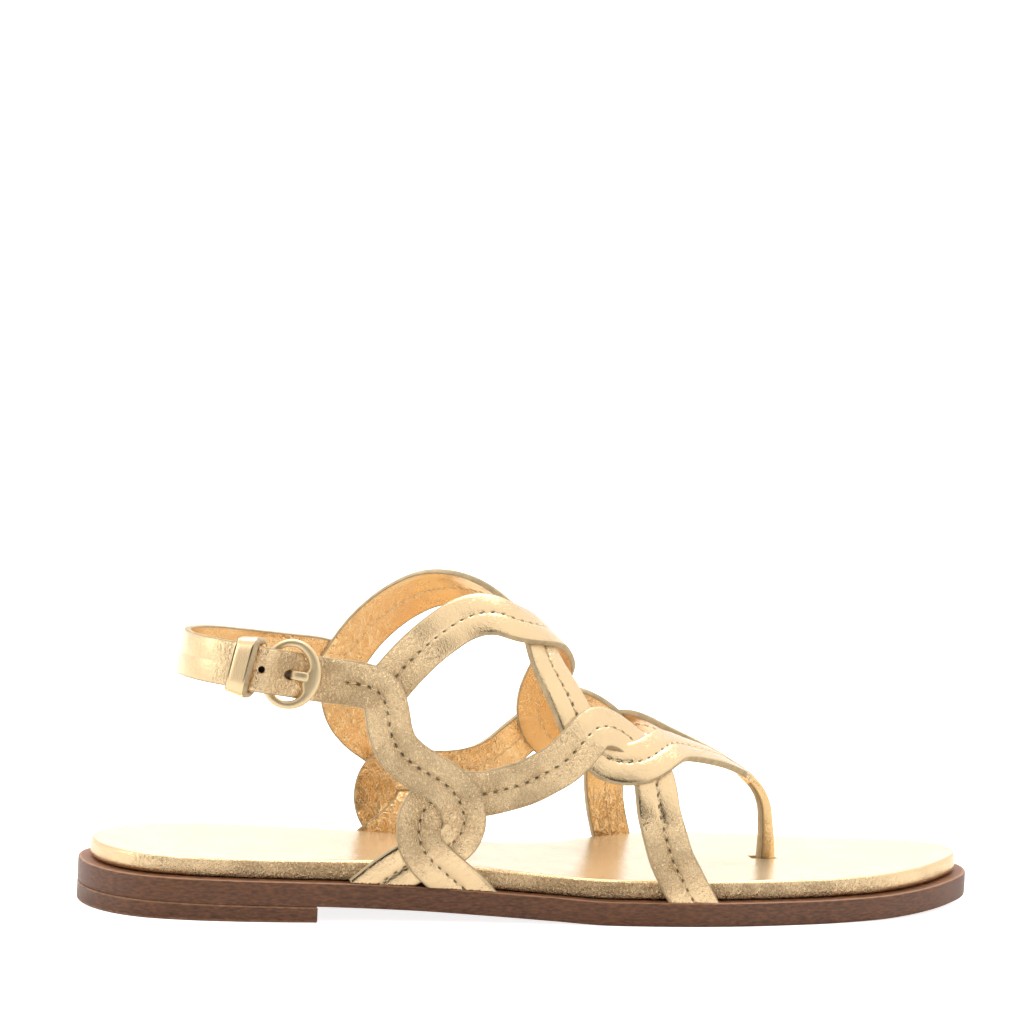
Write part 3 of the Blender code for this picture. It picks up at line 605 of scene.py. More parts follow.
@once("node_groups", "mottle")
def mottle_group(name):
    """Slow change of tone over a hide."""
    tree, given, out = new_group(name, {"Scale": 90.0, "Contrast": 1.0}, ("Tone",))
    wide = speckle(tree, given["Vector"], Scale=given["Scale"], Detail=4.0, Roughness=0.55)
    centred = maths(tree, "SUBTRACT", wide, 0.5)
    feed(tree, out, Tone=scaled(tree, centred, given["Contrast"], 0.5, clamp=True))
    return tree


@once("node_groups", "rub")
def rim_wear_and_highlight_group(name):
    """Rim mask, a rim value broken up by noise: rubbed wear on the straps, rubbed wear and painted
    highlight on the sole.
    """
    tree, given, out = new_group(name, {"Rim": 0.0, "Scale": 700.0}, ("Mask",))
    patch = speckle(tree, given["Vector"], Scale=given["Scale"], Detail=3.0)
    mixed = scaled(tree, patch, 0.7, given["Rim"])
    feed(tree, out, Mask=spread(tree, mixed, 0.75, 1.3))
    return tree


def use(tree, group, **values):
    """Places a group in a material and returns its outputs."""
    return add(tree, "ShaderNodeGroup", node_tree=group, **values).outputs


def mottle(tree, place, scale, contrast):
    return use(tree, mottle_group(), Vector=place, Scale=scale, Contrast=contrast)["Tone"]


def attribute(tree, name):
    return add(tree, "ShaderNodeAttribute", attribute_name=name).outputs["Fac"]


def rim_wear_and_highlight_mask(tree, place, scale=700.0):
    """Mask of the rim, where the piece says it has one."""
    return use(tree, rim_wear_and_highlight_group(), Vector=place, Rim=attribute(tree, "rim"), Scale=scale)["Mask"]


def bump(tree, shader, height, distance):
    """Relief on a shader, its distance in metres."""
    made = add(tree, "ShaderNodeBump", Strength=1.0, Distance=distance, Height=height)
    feed(tree, shader, Normal=made.outputs["Normal"])


def tint(shade, share):
    """A colour made lighter or darker, held below white."""
    return tuple(min(1.0, share * c) for c in shade)


# ------------------------------------------------------------------ materials
def new_material(name):
    """Material with one Principled shader; returns material, tree, shader, object coordinates."""
    made = bpy.data.materials.new(name)
    made.use_nodes = True
    tree = made.node_tree
    shader = tree.nodes["Principled BSDF"]
    place = tree.nodes.new("ShaderNodeTexCoord").outputs["Object"]
    return made, tree, shader, place


def foil_material(name, base, deep, amount, grain, rough, metal, cell=1300.0):
    """Foiled leather whose folds follow the piece's own crinkle value."""
    made, tree, shader, place = new_material(name)
    patch = spread(tree, mottle(tree, place, 110.0, 2.6), 0.2, 0.75, 0.45, 1.0)
    crinkle = maths(tree, "MULTIPLY", attribute(tree, "crinkle"), patch)
    strength = maths(tree, "MULTIPLY", crinkle, amount)
    folds = use(tree, crinkle_group(), Vector=place, Cell=cell, Amount=strength, Grain=grain)
    tone = mottle(tree, place, 70.0, 1.4)
    body = blend(tree, tone, tint(base, 0.9), tint(base, 1.08))
    # painted shade: the creases are blended towards the deep colour
    creased = blend(tree, maths(tree, "MULTIPLY", folds["Creases"], 0.4), body, deep)
    rubbed = blend(tree, maths(tree, "MULTIPLY", rim_wear_and_highlight_mask(tree, place), 0.1), creased, deep)
    # painted shade of needle holes and seams: near-black colour, with the foil's metal taken off
    hole = attribute(tree, "hole")
    shine = scaled(tree, tone, -0.08, rough + 0.04)
    bare = maths(tree, "MULTIPLY", hole, metal)
    feed(tree, shader, Base_Color=blend(tree, hole, rubbed, NEEDLE_HOLE_PAINTED_SHADE),
         Roughness=scaled(tree, folds["Creases"], 0.15, shine),
         Metallic=maths(tree, "SUBTRACT", metal, bare, clamp=True))
    bump(tree, shader, folds["Height"], 0.0008)
    return made


@once("materials", "strap_foil")
def foil(name):
    shades = colours()
    return foil_material(name, shades.foil, shades.foil_crease_shade, 1.0, 0.03, 0.2, 0.95)


@once("materials", "strap_lining")
def lining(name):
    shades = colours()
    return foil_material(name, shades.lining, shades.lining_crease_shade, 1.0, 0.03, 0.26, 0.8, 420.0)


# painted light: a paler, lit copy of the foil for the footbed's top
@once("materials", "footbed_foil")
def footbed_foil(name):
    shades = colours()
    return foil_material(name, shades.footbed, shades.foil_crease_shade, 0.8, 0.02, 0.22, 0.64)


# painted shade: the strap foil as the darker, shaded copy for the footbed's side
@once("materials", "footbed_side")
def footbed_side(name):
    shades = colours()
    return foil_material(name, shades.foil, shades.foil_crease_shade, 1.0, 0.03, 0.24, 0.92)


@once("materials", "strap_edge")
def cut_edge(name):
    """Painted edge of the straps: uneven paint over fine fibres."""
    made, tree, shader, place = new_material(name)
    shade = colours().cut_edge
    tone = mottle(tree, place, 420.0, 1.6)
    feed(tree, shader, Base_Color=blend(tree, tone, tint(shade, 0.75), tint(shade, 1.3)),
         Roughness=0.6, Metallic=0.2)
    bump(tree, shader, speckle(tree, place, Scale=2600.0, Detail=3.0), 0.00008)
    return made


@once("materials", "hole_wall")
def hole_wall(name):
    """Painted shade inside a punched hole: near-black walls and floor, in patches."""
    made, tree, shader, place = new_material(name)
    tone = mottle(tree, place, 1500.0, 1.5)
    feed(tree, shader, Base_Color=blend(tree, tone, *PUNCHED_HOLE_PAINTED_SHADES), Roughness=0.85,
         Specular_IOR_Level=0.1)
    return made


def sole_material(name, shade, gloss):
    """Stained leather in layers, paler where a rim value is set: partly rubbed wear, partly painted
    highlight on the rounded corners.
    """
    made, tree, shader, place = new_material(name)
    tone = mottle(tree, place, 60.0, 1.8)
    speck = mottle(tree, stretched(tree, place, (0.6, 0.6, 2.2)), 850.0, 3.0)
    body = blend(tree, tone, tint(shade, 0.5), shade)
    flecked = blend(tree, maths(tree, "MULTIPLY", speck, 0.6), body, tint(shade, 2.3))
    pale = blend(tree, rim_wear_and_highlight_mask(tree, place, 500.0), flecked, colours().sole_rim_wear_and_highlight)
    feed(tree, shader, Base_Color=pale, Roughness=scaled(tree, speck, 0.22, gloss),
         Specular_IOR_Level=0.42)
    layers = stretched(tree, place, (1.0, 1.0, 3.0))
    bump(tree, shader, speckle(tree, layers, Scale=1300.0, Detail=4.0, Roughness=0.65), 0.00016)
    return made


@once("materials", "sole_side")
def sole_leather(name):
    return sole_material(name, tint(colours().sole, 1.0), 0.3)


@once("materials", "sole_ledge")
def sole_top(name):
    return sole_material(name, tint(colours().sole, 1.5), 0.4)


@once("materials", "sole_underside")
def sole_under(name):
    return sole_material(name, tint(colours().sole, 2.6), 0.5)


@once("materials", "thread")
def thread_material(name):
    """Twisted sewing thread."""
    made, tree, shader, place = new_material(name)
    shade = colours().thread
    tone = mottle(tree, place, 900.0, 1.5)
    feed(tree, shader, Base_Color=blend(tree, tone, tint(shade, 0.7), tint(shade, 1.3)),
         Roughness=0.55, Sheen_Weight=0.2)
    bump(tree, shader, speckle(tree, place, Scale=5200.0, Detail=1.0), 0.00006)
    return made


@once("materials", "buckle_metal")
def metal_material(name):
    """Pale gold plating, softly brushed and slightly worn."""
    made, tree, shader, place = new_material(name)
    shade = colours().metal
    tone = mottle(tree, place, 260.0, 1.2)
    haze = speckle(tree, place, Scale=1800.0, Detail=2.0)
    feed(tree, shader, Base_Color=blend(tree, tone, tint(shade, 0.88), tint(shade, 1.08)),
         Roughness=scaled(tree, haze, 0.12, 0.38), Metallic=1.0)
    bump(tree, shader, haze, 0.00002)
    return made


# ------------------------------------------------------------------ straps
# each row: x, y, z near the last, then lift above the last in strap layers
OUTER_ANKLE = (
    (36.5, -20.5, 68.3, 1.4),
    (38.6, -21.5, 68.0, 1.8),
    (40.6, -22.5, 67.8, 2.6),
    (42.6, -23.2, 67.5, 3.5),
    (45.0, -24.0, 67.1, 3.85),
    (47.2, -24.5, 66.8, 3.5),
    (49.4, -25.0, 66.5, 2.45),
    (51.6, -25.5, 66.2, 1.35),
    (53.6, -26.0, 65.9, 0.5),
    (55.4, -26.0, 65.6, 0.1),
    (57.4, -26.0, 65.3, 0.0),
    (59.5, -26.0, 65.0, 0.0),
    (64.0, -26.0, 64.5, 0.0),
    (68.5, -26.0, 64.0, 0.3),
    (72.5, -26.5, 63.3, 0.8),
    (75.4, -26.5, 61.8, 1.0),
    (77.2, -27.0, 59.2, 1.0),
    (78.1, -27.5, 55.5, 1.0),
    (78.9, -28.0, 51.3, 1.0),
    (80.6, -28.5, 47.3, 1.0),
    (84.2, -29.0, 43.6, 1.0),
    (89.0, -29.5, 40.6, 1.0),
    (93.8, -29.5, 37.8, 1.0),
    (97.2, -29.5, 34.4, 0.95),
    (99.2, -29.5, 30.2, 0.6),
    (99.6, -29.5, 26.0, 0.2),
    (97.8, -29.0, 22.3, 0.0),
    (93.6, -28.6, 19.6, 0.0),
    (88.6, -28.5, 17.4, 0.0),
    (83.6, -28.5, 14.6, 0.0),
    (78.6, -28.5, 11.0, 0.0),
    (73.0, -28.5, 6.4, 0.0),
)

OUTER_CURL = (
    (106.0, -29.0, 3.4, 0.1),
    (100.4, -29.0, 9.3, 0.2),
    (97.0, -29.0, 12.0, 0.5),
    (94.2, -28.8, 14.4, 0.85),
    (91.6, -28.6, 16.6, 1.0),
    (89.3, -28.6, 19.2, 1.0),
    (87.8, -28.6, 22.2, 1.0),
    (87.4, -28.6, 25.4, 0.75),
    (88.0, -28.8, 28.8, 0.3),
    (90.0, -29.0, 32.2, 0.0),
    (94.0, -29.4, 34.6, 0.0),
    (99.0, -30.0, 35.0, 0.0),
    (104.5, -30.2, 35.0, 0.0),
    (110.0, -30.5, 36.4, 0.0),
    (116.0, -30.5, 38.4, 0.0),
    (121.5, -30.2, 41.2, 0.1),
    (126.0, -29.4, 43.8, 0.4),
    (129.4, -28.2, 46.8, 0.8),
    (132.2, -26.2, 49.6, 1.0),
    (135.6, -23.8, 51.9, 1.0),
    (139.4, -22.2, 52.2, 1.0),
    (143.2, -21.2, 51.1, 0.8),
    (147.0, -21.2, 48.8, 0.4),
    (150.2, -22.6, 45.0, 0.05),
    (152.0, -25.0, 41.0, 0.0),
    (152.5, -28.0, 36.4, 0.0),
    (152.8, -30.5, 31.0, 0.0),
    (154.2, -32.2, 25.4, 0.0),
    (156.2, -33.0, 18.6, 0.0),
    (159.6, -33.3, 12.2, 0.0),
    (165.0, -33.4, 3.0, 0.0),
)

INNER_ANKLE = (
    (46.6, -24.6, 66.9, 0.0),
    (42.0, -23.4, 67.4, 0.0),
    (36.0, -20.0, 68.0, 0.0),
    (30.5, -14.0, 68.3, 0.0),
    (27.0, -6.5, 68.4, 0.0),
    (26.0, 0.5, 68.2, 0.0),
    (27.3, 7.5, 67.9, 0.0),
    (31.0, 14.5, 67.4, 0.0),
    (37.0, 20.3, 66.8, 0.0),
    (44.5, 23.6, 65.8, 0.0),
    (53.0, 24.8, 64.8, 0.0),
    (61.0, 25.0, 64.0, 0.0),
    (66.0, 25.2, 63.4, 0.3),
    (70.0, 25.4, 62.4, 0.8),
    (72.8, 25.5, 60.8, 1.0),
    (74.4, 25.6, 58.0, 1.0),
    (75.1, 25.6, 54.4, 1.0),
    (75.8, 25.6, 50.2, 1.0),
    (77.6, 25.5, 46.0, 1.0),
    (81.2, 25.4, 42.2, 1.0),
    (86.0, 25.2, 39.0, 1.0),
    (90.8, 25.0, 36.2, 1.0),
    (94.4, 24.6, 32.8, 0.95),
    (96.6, 23.0, 28.6, 0.6),
    (96.6, 21.2, 24.0, 0.2),
    (94.4, 19.6, 20.2, 0.0),
    (90.4, 18.8, 17.0, 0.0),
    (86.0, 18.6, 13.6, 0.0),
    (81.6, 18.9, 9.6, 0.0),
    (76.6, 19.8, 4.6, 0.0),
)

INNER_CURL = (
    (103.0, 16.6, 3.4, 0.1),
    (97.6, 16.6, 9.3, 0.2),
    (94.3, 16.8, 12.0, 0.5),
    (91.6, 17.2, 14.4, 0.85),
    (89.0, 17.8, 16.6, 1.0),
    (86.8, 18.6, 19.2, 1.0),
    (85.3, 19.8, 22.0, 1.0),
    (84.9, 21.2, 25.0, 0.75),
    (85.6, 22.8, 28.2, 0.3),
    (87.8, 24.0, 31.2, 0.1),
    (92.0, 24.4, 31.8, 0.1),
    (97.0, 24.8, 31.4, 0.05),
    (102.5, 25.0, 31.0, 0.0),
    (108.5, 25.2, 31.4, 0.0),
    (114.5, 25.6, 33.0, 0.05),
    (120.4, 26.2, 35.8, 0.45),
    (125.6, 26.8, 39.6, 0.9),
    (129.8, 26.9, 43.1, 1.0),
    (133.6, 25.9, 46.9, 1.0),
    (137.4, 24.4, 49.8, 1.0),
    (141.4, 23.2, 50.3, 1.0),
    (145.2, 23.1, 49.2, 0.8),
    (148.6, 24.0, 47.2, 0.4),
    (151.0, 26.4, 43.4, 0.05),
    (152.2, 29.4, 38.6, 0.0),
    (152.6, 32.4, 33.0, 0.0),
    (152.9, 35.0, 27.0, 0.0),
    (153.6, 37.0, 20.6, 0.0),
    (155.4, 38.4, 13.6, 0.0),
    (159.0, 39.4, 3.0, 0.0),
)

INSTEP_OUTER = (
    (76.5, -26.5, 61.2, 0.05),
    (79.2, -25.5, 64.4, 0.05),
    (83.4, -24.2, 69.0, 0.05),
    (88.4, -22.6, 73.6, 0.05),
    (94.0, -20.4, 77.6, 0.05),
    (99.6, -18.0, 80.6, 0.1),
    (104.6, -16.4, 81.8, 0.5),
    (109.4, -15.4, 81.4, 0.95),
    (114.2, -14.2, 79.6, 1.0),
    (118.8, -11.2, 77.8, 1.0),
    (123.0, -6.2, 75.6, 1.0),
    (126.6, 0.2, 72.8, 0.95),
    (129.4, 6.2, 69.0, 0.7),
    (131.0, 11.6, 64.8, 0.35),
    (131.3, 15.8, 60.8, 0.1),
    (130.7, 19.4, 56.8, 0.05),
    (130.2, 22.6, 52.8, 0.05),
    (130.4, 24.8, 49.0, 0.05),
    (131.8, 26.6, 45.0, 0.05),
    (134.6, 28.2, 41.4, 0.05),
    (138.4, 29.6, 39.4, 0.05),
    (142.6, 30.2, 38.8, 0.25),
    (146.6, 29.8, 39.6, 0.75),
    (150.4, 28.2, 41.4, 1.0),
    (154.2, 25.7, 42.9, 0.94),
    (158.2, 22.1, 44.6, 0.9),
    (162.4, 18.0, 45.6, 0.5),
    (167.0, 14.2, 44.8, 0.2),
    (172.0, 11.0, 43.4, 0.15),
    (177.0, 8.2, 40.8, 0.15),
    (182.0, 6.6, 37.4, 0.15),
    (188.0, 5.2, 32.4, 0.15),
)

INSTEP_INNER = (
    (73.5, 25.4, 60.6, 0.05),
    (76.0, 24.6, 64.8, 0.05),
    (79.6, 23.4, 70.4, 0.05),
    (84.2, 21.6, 75.8, 0.05),
    (89.8, 18.8, 80.6, 0.05),
    (96.4, 15.0, 84.2, 0.05),
    (103.4, 11.0, 85.2, 0.05),
    (110.0, 7.4, 84.4, 0.05),
    (115.6, 3.6, 81.4, 0.05),
    (119.2, -1.2, 78.0, 0.05),
    (121.0, -6.8, 74.6, 0.05),
    (122.0, -11.8, 71.2, 0.05),
    (123.8, -15.6, 67.4, 0.05),
    (126.4, -18.2, 63.0, 0.05),
    (128.9, -20.6, 58.2, 0.0),
    (130.9, -22.6, 53.6, 0.0),
    (132.9, -24.4, 50.2, 0.0),
    (135.6, -26.0, 47.2, 0.0),
    (139.4, -27.2, 44.8, 0.0),
    (143.4, -27.0, 43.6, 0.4),
    (147.4, -25.8, 43.4, 0.9),
    (151.4, -23.4, 44.2, 1.0),
    (155.2, -19.8, 45.6, 1.0),
    (159.2, -15.3, 46.8, 0.7),
    (163.6, -11.3, 46.6, 0.3),
    (168.2, -7.6, 45.3, 0.05),
    (173.0, -4.0, 43.2, 0.0),
    (178.0, 0.2, 40.2, 0.0),
    (182.6, 3.4, 36.8, 0.0),
    (188.0, 4.6, 32.4, 0.0),
)


# how far apart the rows of a strap's mesh are, and the share of its half width that each
# column of its face and of its lining stands at
ROW_STEP = 0.5
FACE_SHARES = (0.0, 0.03, 0.065, 0.11, 0.18, 0.28, 0.4, 0.52, 0.64, 0.75, 0.84, 0.91, 0.96)
LINING_SHARES = (0.0, 0.06, 0.14, 0.3, 0.5, 0.7, 0.86, 0.95)
FACE_ACROSS = [-share for share in reversed(FACE_SHARES[1:])] + list(FACE_SHARES)
LINING_ACROSS = list(reversed(LINING_SHARES[1:])) + [-share for share in LINING_SHARES]
WALL_HEIGHTS = (0.9, 0.74, 0.5, 0.26, 0.1)

# where the middle of the lining lies across the strap's uv map, in mm like the rest of it
LINING_UV = 20.0

# mm: the sewn groove and its needle holes on the face and on the lining
GROOVE_WIDE = 0.8
HOLE_WIDE = 0.27
HOLE_LONG = 0.5
HOLE_DEEP = 0.5
LINING_HOLE_WIDE = 0.34
LINING_HOLE_RISE = 0.12

# mm: how far the face falls and the lining rises towards the edges, and the edges bulge
FACE_FALL = 0.12
LINING_RISE = 0.18
EDGE_BULGE = 0.12

# shares of half the width: where the face starts to fall and its rubbed rim starts, and how
# much further each has its full strength
FALL_FROM = 0.86
FALL_OVER = 0.1
RIM_FROM = 0.8
FACE_RIM = 0.16
LINING_RIM = 0.15

# wrinkling of smooth stretches; sway of the face in mm as wide and as fine waves, the share
# of it that smooth leather has and what full wrinkling adds
SMOOTH_CRINKLE = 0.07
WIDE_SWAY = 0.11
FINE_SWAY = 0.05
SMOOTH_SWAY = 0.12
WRINKLED_SWAY = 0.7

# the power that a narrowing strap follows, and mm between a cut strap foot and the ledge
TAPER_POWER = 1.4
FOOT_GAP = 0.08

# the thread between two holes: shares of the way where it starts and that it spans, and of
# its thickness that its ends lose; mm that it lies proud and slants across, and that its
# ends dive into the face and the lining
THREAD_START = 0.16
THREAD_SPAN = 0.68
THREAD_TAPER = 0.3
THREAD_PROUD = 0.02
THREAD_SLANT = 0.16
FACE_DIVE = 0.6
LINING_DIVE = 0.5


def smooth_rows(column, reach):
    """Rolling mean of a column, ends held."""
    padded = np.concatenate((np.repeat(column[:1], reach), column, np.repeat(column[-1:], reach)))
    total = np.cumsum(np.concatenate(([0.0], padded)))
    return (total[2 * reach + 1:] - total[: -2 * reach - 1]) / (2 * reach + 1)


def strap_path(table):
    """Rows of a strap: arc length, centre, outward, side, lift and bend."""
    rows = np.asarray(table, float)
    length = run_along(rows[:, :3])[-1]
    path = flow(rows, int(length / ROW_STEP) + 2)
    centre, out = onto_last(path[:, :3])
    for axis in range(3):
        centre[:, axis] = smooth_rows(centre[:, axis], 3)
    ahead = np.gradient(centre, axis=0)
    step = np.linalg.norm(ahead, axis=1)
    ahead = ahead / step[:, None]
    side = unit(np.cross(ahead, out))
    turning = np.gradient(ahead, axis=0) / step[:, None]
    bend = smooth_rows(np.sum(turning * side, axis=1), 5)
    return run_along(centre), centre, out, side, smooth_rows(path[:, 3], 5), bend


def eased(offset, bend):
    """Offset across the strap, drawn in where it would pass the centre of a bend."""
    inner = offset * bend > 0.0
    limit = 1.0 / np.maximum(np.abs(bend), 1e-6)
    drawn = offset / (1.0 + np.abs(offset / limit) ** 5) ** 0.2
    return smooth_rows(np.where(inner, drawn, offset), 2)


def swelling(run, share, folds):
    """Rise of a strap's leather at each row, at one share of its half width."""
    rise = np.zeros(len(run))
    for at, across, reach, wide, height in folds:
        rise += height * np.exp(-(((run - at) / reach) ** 2) - ((share - across) / wide) ** 2)
    return rise


def strap_columns(path, holes, sewn, folds, narrow):
    """Columns of points round a strap: face, first edge, lining, second edge.

    Each column comes with its place across the leather, its rim value and the painted shade of its
    needle holes.
    """
    given = sizes()
    half = 0.5 * given.strap_width
    thick = given.strap_thick
    run, centre, out, side, lift, bend = path
    raised = lift * STRAP_LAYER
    near_hole = np.zeros(len(run))
    for at in holes:
        near_hole = np.maximum(near_hole, hump(run, at, HOLE_LONG))
    begun = np.clip((run - sewn[0] + 1.0) / 1.5, 0.0, 1.0)
    stitched = begun * np.clip((sewn[1] + 1.0 - run) / 1.5, 0.0, 1.0)

    def skin_at(share):
        offset = eased(share * half * narrow, bend)
        skin, normal = onto_last(centre + side * offset[:, None])
        return skin, 0.5 * (normal + out)

    def add_wall(edge, levels):
        skin, normal = skin_at(edge)
        for level in levels:
            bulge = EDGE_BULGE * (1.0 - 4.0 * (level - 0.5) ** 2)
            point = skin + side * (edge * bulge) + normal * (raised + level * thick)[:, None]
            columns.append((point, edge * (half + 1.0 - level), 1.0, 0.0))

    columns = []
    for share in FACE_ACROSS:
        skin, normal = skin_at(share)
        width = abs(share)
        height = thick + given.strap_crown * (1.0 - (2.0 * width - 1.0) ** 2)
        height = height - FACE_FALL * max(0.0, (width - FALL_FROM) / FALL_OVER) ** 2
        dent = hump(share * half, 0.0, HOLE_WIDE)
        groove = given.groove_deep * hump(share * half, 0.0, GROOVE_WIDE) * stitched
        drop = groove + HOLE_DEEP * dent * near_hole
        rise = raised + height - drop + swelling(run, share, folds)
        near_edge = max(0.0, (width - RIM_FROM) / FACE_RIM)
        # painted shade: the needle holes on the face are darkened towards near-black
        dark = np.clip(1.7 * dent * near_hole - 0.25, 0.0, 1.0)
        columns.append((skin + normal * rise[:, None], share * half, near_edge, dark))
    add_wall(1.0, WALL_HEIGHTS)
    for share in LINING_ACROSS:
        skin, normal = skin_at(share)
        near_edge = max(0.0, (abs(share) - RIM_FROM) / LINING_RIM)
        dent = hump(share * half, 0.0, LINING_HOLE_WIDE)
        rise = LINING_RISE * near_edge ** 2 + LINING_HOLE_RISE * dent * near_hole
        rise = rise + swelling(run, share, folds)
        # painted shade: the lining's needle holes get a lighter darkening
        columns.append((skin + normal * (raised + rise)[:, None], LINING_UV - share * half,
                        near_edge, 0.3 * dent * near_hole))
    add_wall(-1.0, WALL_HEIGHTS[::-1])
    return columns


def strap(name, table, sewn, crinkles, seed, ledge=None, tip=None, folds=(), taper=None):
    """One strap as a closed band: foiled face, cut edges and lining.

    sewn is the stretch along the strap that has a row of stitches. crinkles lists places
    along it, with a reach and a strength, where the foil is wrinkled. folds lists soft
    ridges and troughs: place along, share across, reach along, reach across, rise in mm.
    taper is the length over which the strap narrows to its tip, and the share left there.
    """
    path = strap_path(table)
    run = path[0]
    out = path[2]
    rows = len(run)
    holes = needle_holes(sewn)
    folded = np.full(rows, SMOOTH_CRINKLE)
    for at, reach, strength in crinkles:
        folded = np.maximum(folded, strength * hump(run, at, reach))
    narrow = np.ones(rows)
    if taper:
        length, left = taper
        reached = np.clip((run - run[-1] + length) / length, 0.0, 1.0)
        narrow = 1.0 - (1.0 - left) * reached ** TAPER_POWER
    columns = strap_columns(path, holes, sewn, folds, narrow)
    around = len(columns)
    verts = np.stack([column[0] for column in columns], axis=1)
    face = len(FACE_ACROSS)
    back = len(LINING_ACROSS)
    wall = len(WALL_HEIGHTS)
    for i in range(rows):
        for k in range(face):
            wide = ripple(verts[i, k], 6.0, seed)
            fine = ripple(verts[i, k], 2.2, seed + 9.0)
            sway = WIDE_SWAY * wide + FINE_SWAY * fine
            verts[i, k] += out[i] * sway * (SMOOTH_SWAY + WRINKLED_SWAY * folded[i])
    faces = tube_faces(rows, around)
    marks = ([0] * (face - 1) + [1] * (wall + 1) + [2] * (back - 1) + [1] * (wall + 1)) * (rows - 1)
    for base, flip in ((0, True), (around * (rows - 1), False)):
        faces.extend(turned(cap_faces(base, face, wall, back), flip))
    marks.extend([1] * (len(faces) - len(marks)))
    across, rim, hole = (
        np.stack([np.full(rows, column[k]) for column in columns], axis=1).ravel() for k in (1, 2, 3)
    )
    made = piece(name, verts.reshape(-1, 3), faces, (foil(), cut_edge(), lining()), marks,
                 np.stack((np.repeat(run, around), across), axis=1),
                 leather_values(rows * around, np.repeat(folded, around), rim, hole))
    if ledge:
        trim_to_ledge(made, ledge)
    if tip:
        trim_off(made, (tip, 0.0, 0.0), (-1.0, 0.0, 0.0))
    finish_piece(made, "upper")
    sew(name + "_thread", path, holes)
    return made


def cap_faces(base, face, wall, back):
    """Faces that close a strap's end: face and lining joined across, column by column."""
    top = list(range(base, base + face))
    first = base + face + wall
    low = list(reversed(range(first, first + back)))
    faces = zip_strip(top, low)
    faces.append((top[-1], *range(base + face, first), low[-1]))
    faces.append((low[0], *range(first + back, first + back + wall), top[0]))
    return faces


def needle_holes(sewn):
    """Arc lengths of the needle holes on a sewn stretch."""
    pitch = sizes().stitch_pitch
    return sewn[0] + pitch * np.arange(int((sewn[1] - sewn[0]) / pitch) + 1)


def sew(name, path, holes):
    """Thread that lies in the groove from hole to hole, on the face and on the lining."""
    run, centre, out, side, lift, _ = path
    given = sizes()
    thick = 0.5 * given.thread_thick
    around = 8
    stations = (0.0, 0.08, 0.2, 0.35, 0.5, 0.65, 0.8, 0.92, 1.0)
    verts = []
    faces = []
    groove = given.strap_thick - given.groove_deep
    levels = ((groove + THREAD_PROUD, FACE_DIVE), (0.0, -LINING_DIVE))
    for first, second in zip(holes[:-1], holes[1:]):
        for level, dive in levels:
            faces.extend(rod_faces(len(stations), around, len(verts)))
            for share in stations:
                at = first + (second - first) * (THREAD_START + THREAD_SPAN * share)
                middle, up, across = (read_off(at, run, rows) for rows in (centre, out, side))
                end = 2.0 * abs(share - 0.5)
                raised = np.interp(at, run, lift) * STRAP_LAYER + level - dive * end ** 6
                radius = thick * (1.0 - THREAD_TAPER * end ** 4)
                slant = THREAD_SLANT * math.sin(2.0 * math.pi * share)
                for turn in turns(around):
                    verts.append(middle + across * (radius * math.cos(turn) + slant)
                                 + up * (raised + radius * math.sin(turn)))
    made = piece(name, verts, faces, (thread_material(),))
    finish_piece(made, "upper")


def trim_to_ledge(made, x):
    """Cuts a strap off where it meets the ledge of the outsole near x."""
    slope = float(ledge_z(x + 2.0) - ledge_z(x - 2.0)) / 4.0
    trim_off(made, (x, 0.0, float(ledge_z(x)) + FOOT_GAP), (-slope, 0.0, 1.0))


def trim_off(made, point, keep):
    """Cuts a strap by the plane through a point, keeping the side that keep points to."""
    work = bmesh.new()
    work.from_mesh(made.data)
    parts = list(work.verts) + list(work.edges) + list(work.faces)
    cut = bmesh.ops.bisect_plane(
        work, geom=parts, plane_co=in_metres(point), plane_no=keep, clear_inner=True
    )
    rim = [e for e in cut["geom_cut"] if isinstance(e, bmesh.types.BMEdge)]
    filled = bmesh.ops.triangle_fill(work, edges=rim, use_beauty=True)
    for closing in filled["geom"]:
        if isinstance(closing, bmesh.types.BMFace):
            closing.material_index = 1
    bmesh.ops.recalc_face_normals(work, faces=work.faces)
    work.to_mesh(made.data)
    work.free()


# ------------------------------------------------------------------ buckle place
# mm: the ring's place on the ankle strap, half its length and height, and its band
RING_X = 52.1
RING_LONG = 6.7
RING_TALL = 8.25
RING_HALF = 1.1
RING_SWELL = 0.55
RING_THICK = 2.0
RING_FLOOR = 2.5
RING_MIDDLE = RING_FLOOR + 0.5 * RING_THICK

# the prong's rest on the ring: how far it swells, and its place and reach round it in radians
REST_SWELL = 1.5
REST_TURN = -0.16
REST_REACH = 0.42

# mm: the prong, with the height of its low end over the last
PRONG_WIDE = 2.5
PRONG_THICK = 1.2
PRONG_UP = 3.35

# mm: the keeper, with how far its top leans towards the toe
KEEPER_X = 41.7
KEEPER_LONG = 6.0
KEEPER_THICK = 1.3
KEEPER_LEAN = 0.5


def seat_frame(x, reach):
    """Origin on the ankle strap line, with directions along, across and outward."""
    line = flow(OUTER_ANKLE[:16], 200)
    skin, _ = onto_last(line[:, :3])
    middle, behind, before = (read_off(at, skin[:, 0], skin) for at in (x, x - reach, x + reach))
    along = (before - behind) / np.linalg.norm(before - behind)
    _, out = onto_last(middle)
    across = np.cross(out, along)
    across = across / np.linalg.norm(across)
    out = np.cross(along, across)
    if across[2] < 0.0:
        across = -across
    return 0.5 * (behind + before), along, across, out


def placed(seat, points):
    origin, along, across, out = seat
    return [origin + along * t + across * s + out * n for t, s, n in points]


